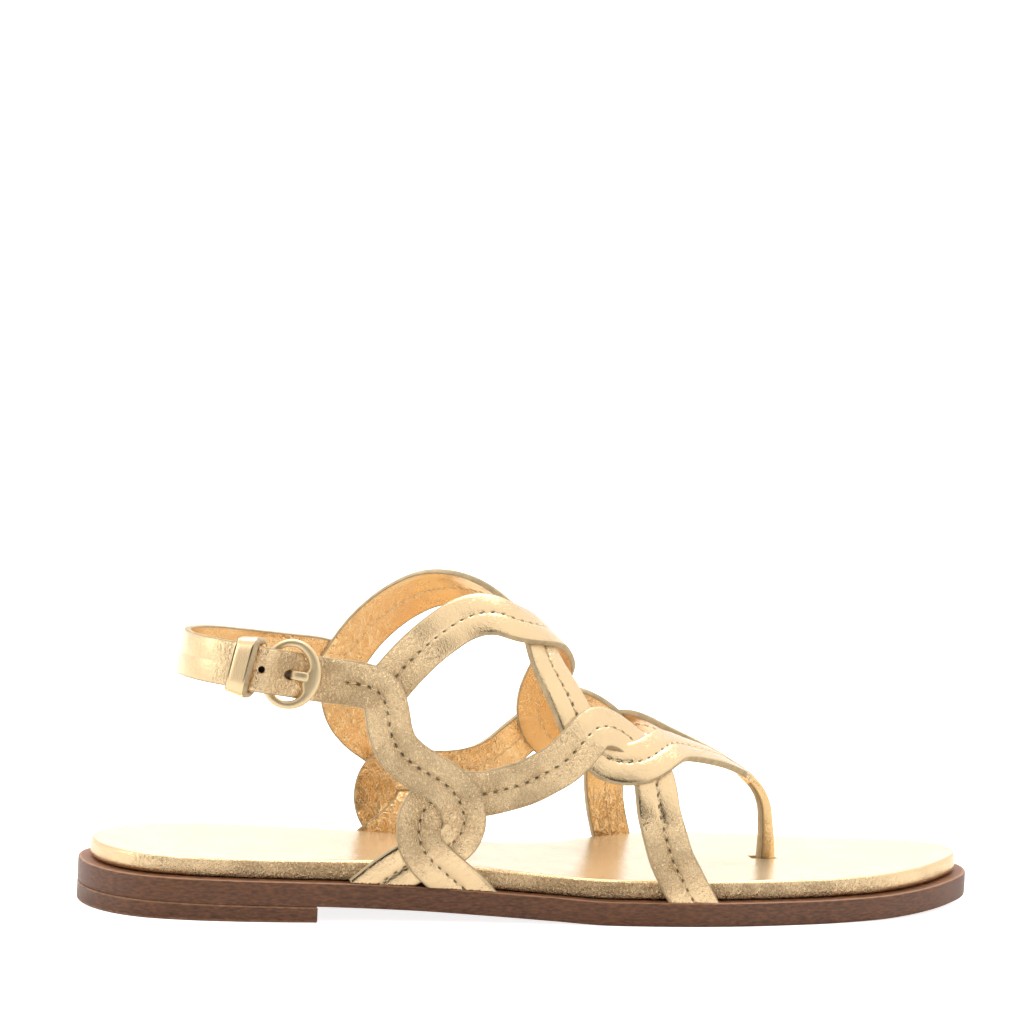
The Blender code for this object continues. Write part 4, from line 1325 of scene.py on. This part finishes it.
# ------------------------------------------------------------------ operators
class SANDAL_OT_stage(bpy.types.Operator):
    """Pale floor with a raised back, soft lights and the camera"""

    bl_idname = "sandal.stage"
    bl_label = "Stage"

    def execute(self, context):
        scene = context.scene
        scene.view_settings.view_transform = "Standard"
        scene.view_settings.look = "None"
        make_floor()
        make_world(scene)
        make_light("key", (0.15, 0.55, 1.25), (0.0, 0.0, 0.03), 1.1, 0.9, 14.0)
        make_light("side", (-1.15, -0.2, 0.6), (-0.05, 0.0, 0.03), 0.7, 0.7, 2.0)
        make_camera(scene)
        return {"FINISHED"}


def make_floor():
    """Floor that curves up into a wall behind the sandal, its sizes in metres."""
    front = -3.0
    back = 1.6
    bend = 0.8
    high = 4.0
    wide = 4.0
    steps = 12
    rows = [(front, 0.0), (0.0, 0.0), (back, 0.0)]
    for i in range(1, steps + 1):
        turn = 0.5 * math.pi * i / steps
        rows.append((back + bend * math.sin(turn), bend * (1.0 - math.cos(turn))))
    rows.append((back + bend, high))
    verts = [(x, y, z) for y, z in rows for x in (-wide, wide)]
    faces = [(2 * i, 2 * i + 1, 2 * i + 3, 2 * i + 2) for i in range(len(rows) - 1)]
    mesh = bpy.data.meshes.new("floor")
    mesh.from_pydata(verts, [], faces)
    mesh.polygons.foreach_set("use_smooth", np.ones(len(faces), bool))
    made, tree, shader, place = new_material("floor_paper")
    parts = add(tree, "ShaderNodeSeparateXYZ", Vector=place)
    lit = spread(tree, parts.outputs["Y"], 0.05, 0.6, 0.05, 0.5)
    seen = tree.nodes.new("ShaderNodeLightPath").outputs["Is Camera Ray"]
    glow = maths(tree, "MAXIMUM", lit, maths(tree, "MULTIPLY", seen, 0.85))
    feed(tree, shader, Base_Color=(0.8, 0.8, 0.8), Roughness=0.9, Specular_IOR_Level=0.1,
         Emission_Color=(1.0, 1.0, 1.0), Emission_Strength=glow)
    mesh.materials.append(made)
    floor = bpy.data.objects.new("floor", mesh)
    bpy.context.scene.collection.objects.link(floor)


# where the tent's unlit opening is
DARK_SIDE = (-0.2, -0.97, 0.12)


def make_world(scene):
    """White tent with an unlit opening on the side that the buckle faces.

    The opening shows in reflections only: the ground that the camera sees stays white.
    """
    world = bpy.data.worlds.new("studio")
    scene.world = world
    world.use_nodes = True
    tree = world.node_tree
    ground = tree.nodes["Background"]
    place = tree.nodes.new("ShaderNodeTexCoord").outputs["Generated"]
    facing = add(tree, "ShaderNodeVectorMath", operation="DOT_PRODUCT")
    plug(tree, facing.inputs[0], place)
    plug(tree, facing.inputs[1], Vector(DARK_SIDE).normalized())
    tent = spread(tree, facing.outputs["Value"], 0.66, 0.9, 1.25, 0.0)
    seen = tree.nodes.new("ShaderNodeLightPath").outputs["Is Camera Ray"]
    feed(tree, ground, Color=(1.0, 1.0, 1.0),
         Strength=maths(tree, "MAXIMUM", tent, maths(tree, "MULTIPLY", seen, 1.1)))


def make_light(name, place, aim, wide, tall, power):
    data = bpy.data.lights.new(name, "AREA")
    data.shape = "RECTANGLE"
    data.size = wide
    data.size_y = tall
    data.energy = power
    made = bpy.data.objects.new(name, data)
    made.location = place
    made.rotation_mode = "QUATERNION"
    made.rotation_quaternion = (Vector(aim) - Vector(place)).to_track_quat("-Z", "Y")
    bpy.context.scene.collection.objects.link(made)


# degrees; distance, target and lens in mm
CAMERA_AZIMUTH = -12.217
CAMERA_ELEVATION = 6.914
CAMERA_ROLL = 2.545
CAMERA_DISTANCE = 1377.5
CAMERA_TARGET = (110.905, -20.0, 109.858)
CAMERA_LENS = 181.49


def make_camera(scene):
    data = bpy.data.cameras.new("camera")
    data.lens = CAMERA_LENS
    data.sensor_width = 36.0
    data.clip_start = 0.1
    data.clip_end = 20.0
    a, e, r = (math.radians(angle) for angle in (CAMERA_AZIMUTH, CAMERA_ELEVATION, CAMERA_ROLL))
    back = Vector((math.sin(a) * math.cos(e), -math.cos(a) * math.cos(e), math.sin(e)))
    right = (-back).cross(Vector((0.0, 0.0, 1.0))).normalized()
    up = right.cross(-back)
    level = right * math.cos(r) + up * math.sin(r)
    upright = up * math.cos(r) - right * math.sin(r)
    target = Vector(in_metres(CAMERA_TARGET))
    facing = Matrix((level, upright, back)).transposed()
    made = bpy.data.objects.new("camera", data)
    made.matrix_world = Matrix.Translation(target + back * CAMERA_DISTANCE * MM) @ facing.to_4x4()
    scene.collection.objects.link(made)
    scene.camera = made


class SANDAL_OT_sole(bpy.types.Operator):
    """Outsole and heel lift of stained leather"""

    bl_idname = "sandal.sole"
    bl_label = "Sole"

    def execute(self, context):
        make_outsole()
        make_heel_lift()
        return {"FINISHED"}


# mm: radius of the sole's and the lift's corners, and of the lift's corner below the sole;
# how far the sole's side swells, how far its paler rim reaches (rubbed wear and painted highlight),
# and the lift's gap to it
SOLE_CORNER = 0.5
LIFT_CORNER = 0.45
LIFT_TOP_CORNER = 0.3
SIDE_SWELL = 0.05
SIDE_RIM = 0.55
LIFT_GAP = 0.05


def corner_arc(radius, shares):
    """Inset and drop of points round a quarter circle at a corner."""
    made = []
    for share in shares:
        turn = 0.5 * math.pi * share
        made.append((radius * (1.0 - math.sin(turn)), radius * (1.0 - math.cos(turn))))
    return made


def ringed(rings, count):
    """Points of rings of the plan outline, each with an inset and a rule for its height."""
    verts = []
    for inset, height in rings:
        outer, inner = halves(inset, count)
        for x, y in np.concatenate((outer, inner[-2:0:-1])):
            verts.append((x, y, float(height(x, y))))
    return verts


def cover(verts, base, around, count, columns, height=None):
    """Closes a ring of points across, from its outer to its inner side.

    Adds the points between to verts, level with their ends unless height is given. Returns
    the faces and the last row of points.
    """
    grid = []
    for i in range(count):
        left = base + i
        right = base + (around - i) % around
        if left == right:
            grid.append([left] * (columns + 1))
            continue
        a = np.array(verts[left])
        b = np.array(verts[right])
        row = [left]
        for c in range(1, columns):
            x, y, z = a * (1.0 - c / columns) + b * (c / columns)
            row.append(len(verts))
            verts.append((x, y, float(height(x, y)) if height else z))
        grid.append(row + [right])
    faces = []
    for near, far in zip(grid[:-1], grid[1:]):
        for c in range(columns):
            face = (near[c], far[c], far[c + 1], near[c + 1])
            faces.append(tuple(v for k, v in enumerate(face) if v != face[k - 1]))
    return faces, grid[-1]


def make_outsole():
    count = 230
    ledge_rings = 2
    sides = corner_arc(SOLE_CORNER, (0.0, 0.35, 0.7, 1.0))
    for share in (0.2, 0.35, 0.5, 0.65, 0.8):
        sides.append((-SIDE_SWELL * math.sin(math.pi * share), share * OUTSOLE_THICK))
    for inset, drop in corner_arc(SOLE_CORNER, (1.0, 0.7, 0.35, 0.0)):
        sides.append((inset, OUTSOLE_THICK - drop))
    sides.extend(((LEDGE * 0.5, OUTSOLE_THICK), (LEDGE + 2.0, OUTSOLE_THICK)))
    rings = [(inset, lambda x, y, up=up: under_z(x) + up) for inset, up in sides]
    verts = ringed(rings, count)
    around = 2 * (count - 1)
    faces = tube_faces(len(rings), around)
    marks = [0] * ((len(rings) - 1 - ledge_rings) * around) + [1] * (ledge_rings * around)
    low, _ = cover(verts, 0, around, count, 24, rings[0][1])
    top, _ = cover(verts, (len(rings) - 1) * around, around, count, 10, rings[-1][1])
    faces.extend(turned(low, True) + top)
    marks.extend([2] * len(low) + [1] * len(top))
    # paler rim along the top and bottom corners of the side: rubbed wear and painted highlight
    rim = np.zeros(len(verts))
    for i, (_, up) in enumerate(sides[:-ledge_rings]):
        edge = min(up, OUTSOLE_THICK - up)
        rim[i * around:(i + 1) * around] = max(0.0, 1.0 - edge / SIDE_RIM)
    made = piece("sole", verts, faces, (sole_leather(), sole_top(), sole_under()), marks,
                 values={"rim": rim})
    finish_piece(made, "outsole")


def make_heel_lift():
    """Heel lift: an outline like the sole's, cut square at the breast."""
    count = 150
    breast_count = 30
    outer, inner = halves(-LIFT_PROUD, 500)
    xs = outer[0, 0] + (BREAST_X - outer[0, 0]) * np.linspace(0.0, 1.0, count) ** 1.7
    near = np.stack((xs, edge_at(outer, xs)), axis=1)
    far = np.stack((xs, edge_at(inner, xs)), axis=1)
    breast = [near[-1] * (1.0 - s) + far[-1] * s for s in np.linspace(0.0, 1.0, breast_count)[1:-1]]
    loop = np.concatenate((near, breast, far[::-1][:-1]))
    around = len(loop)
    rings = [(inset, up, 0.0) for inset, up in corner_arc(LIFT_CORNER, (0.0, 0.4, 0.75, 1.0))]
    rings.extend((0.0, 0.0, share) for share in (0.3, 0.55, 0.8))
    rings.extend((inset, -drop, 1.0) for inset, drop in corner_arc(LIFT_TOP_CORNER, (1.0, 0.6, 0.0)))
    verts = []
    rim = []
    for inset, up, share in rings:
        for (x, y), (a, b) in zip(loop, inward(loop, 1)):
            top = float(under_z(x)) - LIFT_GAP
            verts.append((x + a * inset, y + b * inset, up + share * top))
            # paler rim at the lift's joints: rubbed wear and painted highlight
            rim.append(0.0 if 0.2 < share < 0.9 else 0.75)
    faces = tube_faces(len(rings), around)
    marks = [0] * len(faces)
    for base, flip in ((0, True), ((len(rings) - 1) * around, False)):
        across, front = cover(verts, base, around, count, 12)
        strip = [base + count - 1 + k for k in range(breast_count)]
        faces.extend(turned(across + zip_strip(front, strip), flip))
    marks.extend([1] * (len(faces) - len(marks)))
    rim.extend([0.0] * (len(verts) - len(rim)))
    made = piece("lift", verts, faces, (sole_leather(), sole_under()), marks, values={"rim": rim})
    finish_piece(made, "heel_lift")


class SANDAL_OT_footbed(bpy.types.Operator):
    """Padded footbed wrapped in foiled leather"""

    bl_idname = "sandal.footbed"
    bl_label = "Footbed"

    def execute(self, context):
        make_footbed()
        return {"FINISHED"}


# how far each ring of the cover is drawn in, mm, and its share of the cover's height
COVER_PROFILE = (
    (1.9, 0.0), (1.2, 0.02), (0.7, 0.06), (0.32, 0.13), (0.1, 0.22), (0.0, 0.34), (0.0, 0.46),
    (0.02, 0.58), (0.06, 0.7), (0.13, 0.8), (0.24, 0.885), (0.4, 0.945), (0.62, 0.98), (0.9, 0.995),
    (1.6, 1.0),
)

# mm: the cover's gap to the ledge, depth of the dish in its top and its waves, fine and
# wide; two corners of the slot for the toe post
COVER_GAP = 0.12
DISH = 0.15
COVER_FINE = 0.04
COVER_WIDE = 0.07
SLOT_LOW = (187.9, 2.7, 9.4)
SLOT_HIGH = (195.0, 7.3, 20.0)


def make_footbed():
    """Cover drawn over the rim and rolled under, slightly dished on top."""
    count = 260
    edge_out, edge_in = halves(LEDGE + 1.6, 400)

    def low(x, y):
        return ledge_z(x) + COVER_GAP

    def dished(x, y):
        outer = edge_at(edge_out, x)
        inner = edge_at(edge_in, x)
        half = max(0.5 * (inner - outer), 1.0)
        share = min(abs(y - 0.5 * (outer + inner)) / half, 1.0)
        return footbed_z(x) - DISH * (1.0 - share ** 2.5)

    def side(share):
        return lambda x, y: low(x, y) + share * (footbed_z(x) - low(x, y))

    verts = ringed([(LEDGE + inset, side(share)) for inset, share in COVER_PROFILE], count)
    around = 2 * (count - 1)
    rings = len(COVER_PROFILE)
    rim_count = rings * around
    faces = tube_faces(rings, around)
    # the side rings take the shaded copy of the foil and the top takes the lit copy: painted light
    marks = [1 if share < 0.99 else 0 for _, share in COVER_PROFILE[:-1] for _ in range(around)]
    top, _ = cover(verts, rim_count - around, around, count, 60, dished)
    bottom, _ = cover(verts, 0, around, count, 4, low)
    marks = marks + [0] * len(top) + [1] * len(bottom)
    faces = faces + top + turned(bottom, True)
    verts = np.asarray(verts, float)
    wall = np.zeros(len(verts))
    wall[:rim_count] = np.repeat([1.0 if share < 0.9 else 0.0 for _, share in COVER_PROFILE], around)
    crinkle = 0.04 + wall * side_folds(verts)
    middle = np.array((120.0, 2.0, 0.0))
    for n in range(rim_count):
        sway = COVER_FINE * ripple(verts[n], 4.0, 3.0) + COVER_WIDE * ripple(verts[n], 13.0, 5.0)
        away = (verts[n] - middle) * (0.02, 1.0, 0.0)
        away = away / (np.linalg.norm(away) + 1e-6)
        verts[n] += away * wall[n] * sway
    made = piece("footbed_cover", verts, faces, (footbed_foil(), footbed_side()), marks,
                 values=leather_values(len(verts), crinkle))
    cut_slot(made)
    finish_piece(made, "footbed")


def side_folds(verts):
    """How strongly the cover's side is folded: most on two long runs, least at the ends."""
    x = verts[:, 0]
    run = np.exp(-(((x - 66.0) / 38.0) ** 4)) + np.exp(-(((x - 150.0) / 62.0) ** 4))
    return 0.08 + 0.8 * np.clip(run, 0.0, 1.0)


def cut_slot(made):
    """Slit in the cover that the toe post passes through."""
    xs, ys, zs = zip(SLOT_LOW, SLOT_HIGH)
    corners = [(x, y, z) for x in xs for y in ys for z in zs]
    faces = ((0, 1, 3, 2), (4, 6, 7, 5), (0, 4, 5, 1), (2, 3, 7, 6), (0, 2, 6, 4), (1, 5, 7, 3))
    cut_with(made, corners, faces)


def cut_with(made, points, faces, wall=None):
    """Takes a closed shape out of a piece, whose new walls get the wall material."""
    mesh = bpy.data.meshes.new("tool")
    mesh.from_pydata(in_metres(points).tolist(), [], faces)
    if wall:
        mesh.materials.append(wall)
    face_outward(mesh)
    tool = bpy.data.objects.new("tool", mesh)
    bpy.context.scene.collection.objects.link(tool)
    cut = made.modifiers.new("cut", "BOOLEAN")
    cut.operation = "DIFFERENCE"
    cut.solver = "EXACT"
    cut.object = tool
    graph = bpy.context.evaluated_depsgraph_get()
    done = bpy.data.meshes.new_from_object(made.evaluated_get(graph))
    made.modifiers.clear()
    made.data = done
    bpy.data.objects.remove(tool)


# mm: where the strap end is punched; for each hole its place along from there, its width
# beyond the spare hole's and the height of its floor, which is dark with painted shade; the height of
# the punch
PUNCH_X = 46.0
PUNCHES = ((-0.4, 0.0, 7.2), (6.9, 0.8, 3.2))
PUNCH_TOP = 14.0


class SANDAL_OT_ankle(bpy.types.Operator):
    """Ankle strap with its free end, and the loops that it makes on both sides"""

    bl_idname = "sandal.ankle"
    bl_label = "Ankle strap"

    def execute(self, context):
        outer = strap("ankle_strap_outer", OUTER_ANKLE, (30.0, 118.0),
                      ((12.0, 5.0, 0.7), (32.0, 11.0, 1.5), (64.0, 17.0, 1.5)), 1.0, 80.0,
                      folds=((46.0, -0.5, 6.5, 0.34, 0.55), (41.0, 0.45, 2.2, 0.5, -0.3),
                             (56.0, 0.4, 2.0, 0.5, 0.25), (86.0, -0.1, 7.0, 0.16, -0.25)))
        punch_holes(outer)
        strap("ankle_strap_inner", INNER_ANKLE, (70.0, 158.0),
              ((5.0, 10.0, 0.25), (95.0, 25.0, 0.5), (150.0, 16.0, 0.7)), 2.0, 82.0,
              folds=((112.0, 0.2, 2.0, 0.5, -0.3), (117.0, -0.3, 2.4, 0.4, 0.35),
                     (128.0, 0.1, 2.6, 0.6, 0.3)))
        return {"FINISHED"}


def punch_holes(made):
    """Round holes in the strap end: a spare one, and the one the prong comes through. Each is cut down
    to a floor, and its walls and floor take near-black painted shade.
    """
    seat = seat_frame(PUNCH_X, 3.0)
    around = 24
    made.data.materials.append(hole_wall())
    for at, wider, floor in PUNCHES:
        half = 0.5 * (sizes().hole_wide + wider)
        rims = [(at + half * math.cos(turn), half * math.sin(turn), n)
                for n in (floor, PUNCH_TOP) for turn in turns(around)]
        cut_with(made, placed(seat, rims), rod_faces(2, around), hole_wall())


class SANDAL_OT_curls(bpy.types.Operator):
    """Side straps that curl round the ankle strap and run to the forefoot"""

    bl_idname = "sandal.curls"
    bl_label = "Side straps"

    def execute(self, context):
        strap("side_strap_outer", OUTER_CURL, (8.0, 150.0),
              ((29.0, 8.0, 1.0), (60.0, 18.0, 1.0), (134.0, 8.0, 1.0)), 3.0, 100.0,
              folds=((31.0, 0.3, 3.0, 0.5, -0.25), (133.0, 0.2, 2.2, 0.7, 0.3),
                     (137.5, -0.2, 1.6, 0.7, -0.25)))
        strap("side_strap_inner", INNER_CURL, (8.0, 150.0),
              ((22.0, 10.0, 0.6), (58.0, 18.0, 1.0), (86.0, 11.0, 0.9), (138.0, 10.0, 1.0)), 4.0, 97.0,
              folds=((52.0, 0.2, 1.6, 0.8, 0.3), (57.0, -0.2, 1.4, 0.8, -0.3),
                     (63.0, 0.3, 1.8, 0.7, 0.35), (84.0, -0.4, 1.8, 0.35, -0.45),
                     (88.0, -0.1, 1.6, 0.3, 0.45), (93.0, -0.5, 1.8, 0.35, -0.4),
                     (134.0, 0.0, 1.5, 0.8, -0.35), (139.0, 0.2, 1.6, 0.8, 0.35)))
        return {"FINISHED"}


# where the instep straps end along the sole, and how they narrow towards it
TIP_X = 184.6
TIP_TAPER = (17.0, 0.4)


class SANDAL_OT_instep(bpy.types.Operator):
    """Straps that cross on the instep and meet at the toe post"""

    bl_idname = "sandal.instep"
    bl_label = "Instep straps"

    def execute(self, context):
        strap("instep_strap_outer", INSTEP_OUTER, (3.0, 165.0), ((7.0, 9.0, 0.8), (90.0, 14.0, 0.5)),
              5.0, tip=TIP_X, taper=TIP_TAPER)
        strap("instep_strap_inner", INSTEP_INNER, (3.0, 165.0), ((8.0, 12.0, 0.4), (70.0, 10.0, 0.3)),
              6.0, tip=TIP_X, taper=TIP_TAPER)
        return {"FINISHED"}


class SANDAL_OT_post(bpy.types.Operator):
    """Folded leather post between the toes"""

    bl_idname = "sandal.post"
    bl_label = "Toe post"

    def execute(self, context):
        make_post()
        return {"FINISHED"}


# mm: the post's place across and its width, the length of its wrapped head, over what
# length the wrapping ends and how proud it is
POST_Y = 5.0
POST_ACROSS = 4.0
POST_TAB = 3.2
POST_TAB_END = 0.5
POST_WRAP = 0.22

# shares of the post's half length or width: where its seam lies, how wide and deep that is;
# how dark the painted shade in its groove is, and the power that squares the post's section
POST_SEAM = 0.6
SEAM_WIDE = 0.2
SEAM_DEEP = 0.14
SEAM_PAINTED_SHADE = 0.8
POST_SQUARE = 0.55

# toe post seen from the side: x, z, length of its section
POST = (
    (184.2, 35.7, 2.3),
    (185.9, 34.3, 2.7),
    (187.9, 32.4, 3.0),
    (189.8, 29.8, 3.3),
    (191.2, 26.3, 3.6),
    (191.8, 22.0, 3.9),
    (192.2, 17.2, 4.4),
    (192.3, 12.6, 4.9),
    (192.3, 9.2, 5.0),
)


def make_post():
    """Strip folded lengthwise: foil behind, lining in front, a seam down each side. Below the head,
    the foil strip facing the heel is drawn with the darker edge material, as painted shade.

    Its head is wrapped where the instep straps are sewn to it.
    """
    path = flow([(x, POST_Y, z, w) for x, z, w in POST], 110)
    run = run_along(path[:, :3])
    ahead = unit(np.gradient(path[:, :3], axis=0))
    level = np.array((0.0, 1.0, 0.0))
    around = 48
    verts = []
    dark = []
    for i, row in enumerate(path):
        front = np.cross(level, ahead[i])
        wrap = POST_WRAP * (1.0 - min(max((run[i] - POST_TAB) / POST_TAB_END, 0.0), 1.0))
        for turn in turns(around, 0.5):
            c, s = rounded(turn, POST_SQUARE, POST_SQUARE)
            seam = math.exp(-(((c - POST_SEAM) / SEAM_WIDE) ** 2)) if wrap == 0.0 else 0.0
            reach = 0.5 * row[3] + wrap
            thick = (0.5 * POST_ACROSS + wrap) * (1.0 - SEAM_DEEP * seam)
            verts.append(row[:3] + front * reach * c + level * thick * s)
            # painted shade darkens the seam's groove
            dark.append(SEAM_PAINTED_SHADE * seam)
    marks = []
    for at in run[:-1]:
        for turn in turns(around, 1.0):
            front_side = rounded(turn, POST_SQUARE, POST_SQUARE)[0] > POST_SEAM
            # painted shade: below the head, the foil strip facing the heel takes the darker edge
            # material
            marks.append(0 if at < POST_TAB else 2 if front_side else 1)
    made = piece("post", verts, rod_faces(len(path), around), (foil(), lining(), cut_edge()),
                 marks + [1, 1], values=leather_values(len(verts), 0.15, hole=dark))
    finish_piece(made, "toe_post")


class SANDAL_OT_buckle(bpy.types.Operator):
    """Ring, prong, the turned-over strap end and the keeper"""

    bl_idname = "sandal.buckle"
    bl_label = "Buckle and keeper"

    def execute(self, context):
        seat = seat_frame(RING_X, RING_LONG)
        make_ring(seat)
        make_prong(seat)
        make_fold(seat)
        make_keeper(seat_frame(KEEPER_X, 2.0))
        return {"FINISHED"}


def make_ring(seat):
    """Domed ring, its band wider towards the toe, with a rest for the prong."""
    rings = 120
    around = 24
    points = []
    for turn in turns(rings):
        half = RING_HALF + RING_SWELL * max(math.cos(turn), 0.0) ** 2
        away = math.remainder(turn - REST_TURN, 2.0 * math.pi) / REST_REACH
        rest = REST_SWELL * math.exp(-(away ** 4))
        for roll in turns(around):
            c, s = rounded(roll, 0.8, 0.9)
            wide = half * c - rest * 0.5 * (1.0 - c)
            points.append(((RING_LONG + wide) * math.cos(turn), (RING_TALL + wide) * math.sin(turn),
                           RING_MIDDLE + 0.5 * RING_THICK * s))
    faces = tube_faces(rings, around, closed=True)
    made = piece("ring", placed(seat, points), faces, (metal_material(),))
    finish_piece(made, "buckle_ring")


def make_prong(seat):
    """Rounded prong with an eye round the far side of the ring."""
    half = 0.5 * PRONG_WIDE
    eye_gap = 0.2
    eye_thick = 0.7
    rings = 40
    section = ((-0.96, 0.0), (-1.0, 0.3), (-1.0, 0.7), (-0.8, 1.0),
               (0.8, 1.0), (1.0, 0.7), (1.0, 0.3), (0.96, 0.0))
    points = []
    for turn in turns(rings):
        for across, share in section:
            reach = RING_HALF + eye_gap + eye_thick * share
            rise = 0.5 * RING_THICK + eye_gap + eye_thick * share
            points.append((-RING_LONG + reach * math.cos(turn), across * half,
                           RING_MIDDLE + rise * math.sin(turn)))
    faces = tube_faces(rings, len(section), closed=True)
    low = 0.5 * PRONG_THICK
    rest = RING_FLOOR + RING_THICK + 0.05 + low
    # place along, height of the middle, share of the full width and thickness
    rows = (
        (-5.3, PRONG_UP, 1.0),
        (-3.6, PRONG_UP, 1.0),
        (-2.2, PRONG_UP, 1.0),
        (-1.2, PRONG_UP + 0.15, 1.0),
        (-0.2, PRONG_UP + 0.55, 1.0),
        (0.7, rest - 0.55, 1.0),
        (1.7, rest - 0.15, 1.0),
        (3.0, rest, 1.0),
        (4.3, rest - 0.02, 0.98),
        (4.7, rest - 0.06, 0.9),
        (5.0, rest - 0.15, 0.66),
    )
    rows = flow([(t, 0.0, n, w) for t, n, w in rows], 40)
    around = 16
    faces.extend(rod_faces(len(rows), around, len(points)))
    for t, _, n, w in rows:
        for roll in turns(around):
            c, s = rounded(roll, 0.6, 0.75)
            points.append((t, half * w * c, n + low * w * s))
    made = piece("prong", placed(seat, points), faces, (metal_material(),))
    finish_piece(made, "buckle_prong")


def make_fold(seat):
    """Strap end turned over the far side of the ring, slit for the prong's eye."""
    thick = 0.8
    steps = 28
    for number, (left, right) in enumerate(((-3.2, -1.35), (1.35, 3.2)), 1):
        points = []
        for i in range(steps):
            turn = math.pi * (1.28 * i / (steps - 1) - 0.14)
            drop = 2.56 * max(0.0, -math.sin(turn))
            for across, grow in ((left, 0.0), (right, 0.0), (right, thick), (left, thick)):
                reach = RING_HALF + SEAT + 0.15 + grow
                rise = 0.5 * RING_THICK + SEAT + grow
                points.append((-RING_LONG - reach * math.cos(turn), across,
                               RING_MIDDLE + rise * max(math.sin(turn), 0.0) - drop))
        made = piece(f"strap_fold_{number}", placed(seat, points), rod_faces(steps, 4), (foil(),),
                     values=leather_values(len(points), 0.4))
        finish_piece(made, "upper")


def make_keeper(seat):
    """Leather loop round the ankle strap: foiled outside, lined inside, painted edges."""
    half = 0.5 * KEEPER_LONG
    low = -2.0
    high = 8.8
    side = 0.5 * sizes().strap_width + 0.75
    middle = 0.5 * (low + high)
    rise = 0.5 * (high - low)
    rings = 96
    # place along, share of the thickness, and 0 for foil, 1 for edge, 2 for lining
    section = []
    for k in range(11):
        share = -1.0 + 0.17 * k
        height = 1.0 + 0.36 * share - 0.16 * max(0.0, (-share - 0.72) / 0.28) ** 2
        section.append((share * half * 0.97, height, 0))
    section.extend(((0.86 * half, 0.78, 1), (half, 0.25, 1)))
    section.extend((share * half, 0.0, 2) for share in (0.94, 0.4, -0.4, -0.94))
    section.extend(((-half, 0.3, 1), (-half, 0.62, 1)))
    points = []
    for turn in turns(rings):
        c, s = rounded(turn, 0.45, 0.45)
        for along, share, _ in section:
            grow = KEEPER_THICK * share
            points.append((KEEPER_LEAN * c + along, (side + grow) * c, middle + (rise + grow) * s))
    around = len(section)
    kinds = []
    for k in range(around):
        pair = (section[k][2], section[(k + 1) % around][2])
        kinds.append(0 if pair == (0, 0) else 2 if pair == (2, 2) else 1)
    rim = [max(0.0, (abs(row[0]) - 0.8 * half) / (0.2 * half)) for row in section] * rings
    made = piece("keeper_loop", placed(seat, points), tube_faces(rings, around, closed=True),
                 (foil(), cut_edge(), lining()), kinds * rings,
                 values=leather_values(len(points), 0.0, rim))
    finish_piece(made, "keeper")


# ------------------------------------------------------------------ panel and entry
OPERATORS = (
    SANDAL_OT_stage,
    SANDAL_OT_sole,
    SANDAL_OT_footbed,
    SANDAL_OT_ankle,
    SANDAL_OT_curls,
    SANDAL_OT_instep,
    SANDAL_OT_post,
    SANDAL_OT_buckle,
)


class SANDAL_PT_panel(bpy.types.Panel):
    """Lists the sandal's sizes, colours and pieces"""

    bl_label = "Sandal"
    bl_idname = "SANDAL_PT_panel"
    bl_space_type = "VIEW_3D"
    bl_region_type = "UI"
    bl_category = "Sandal"

    def draw(self, context):
        layout = self.layout
        for group in (context.scene.sandal_sizes, context.scene.sandal_colours):
            for label in group.__annotations__:
                layout.prop(group, label)
        for kind in OPERATORS:
            layout.operator(kind.bl_idname)


CLASSES = (SandalSizes, SandalColours, *OPERATORS, SANDAL_PT_panel)


def register():
    for kind in CLASSES:
        bpy.utils.register_class(kind)
    bpy.types.Scene.sandal_sizes = PointerProperty(type=SandalSizes)
    bpy.types.Scene.sandal_colours = PointerProperty(type=SandalColours)


def unregister():
    del bpy.types.Scene.sandal_sizes
    del bpy.types.Scene.sandal_colours
    for kind in reversed(CLASSES):
        bpy.utils.unregister_class(kind)


def main():
    register()
    bpy.ops.sandal.stage()
    bpy.ops.sandal.sole()
    bpy.ops.sandal.footbed()
    bpy.ops.sandal.ankle()
    bpy.ops.sandal.curls()
    bpy.ops.sandal.instep()
    bpy.ops.sandal.post()
    bpy.ops.sandal.buckle()


if __name__ == "__main__":
    main()
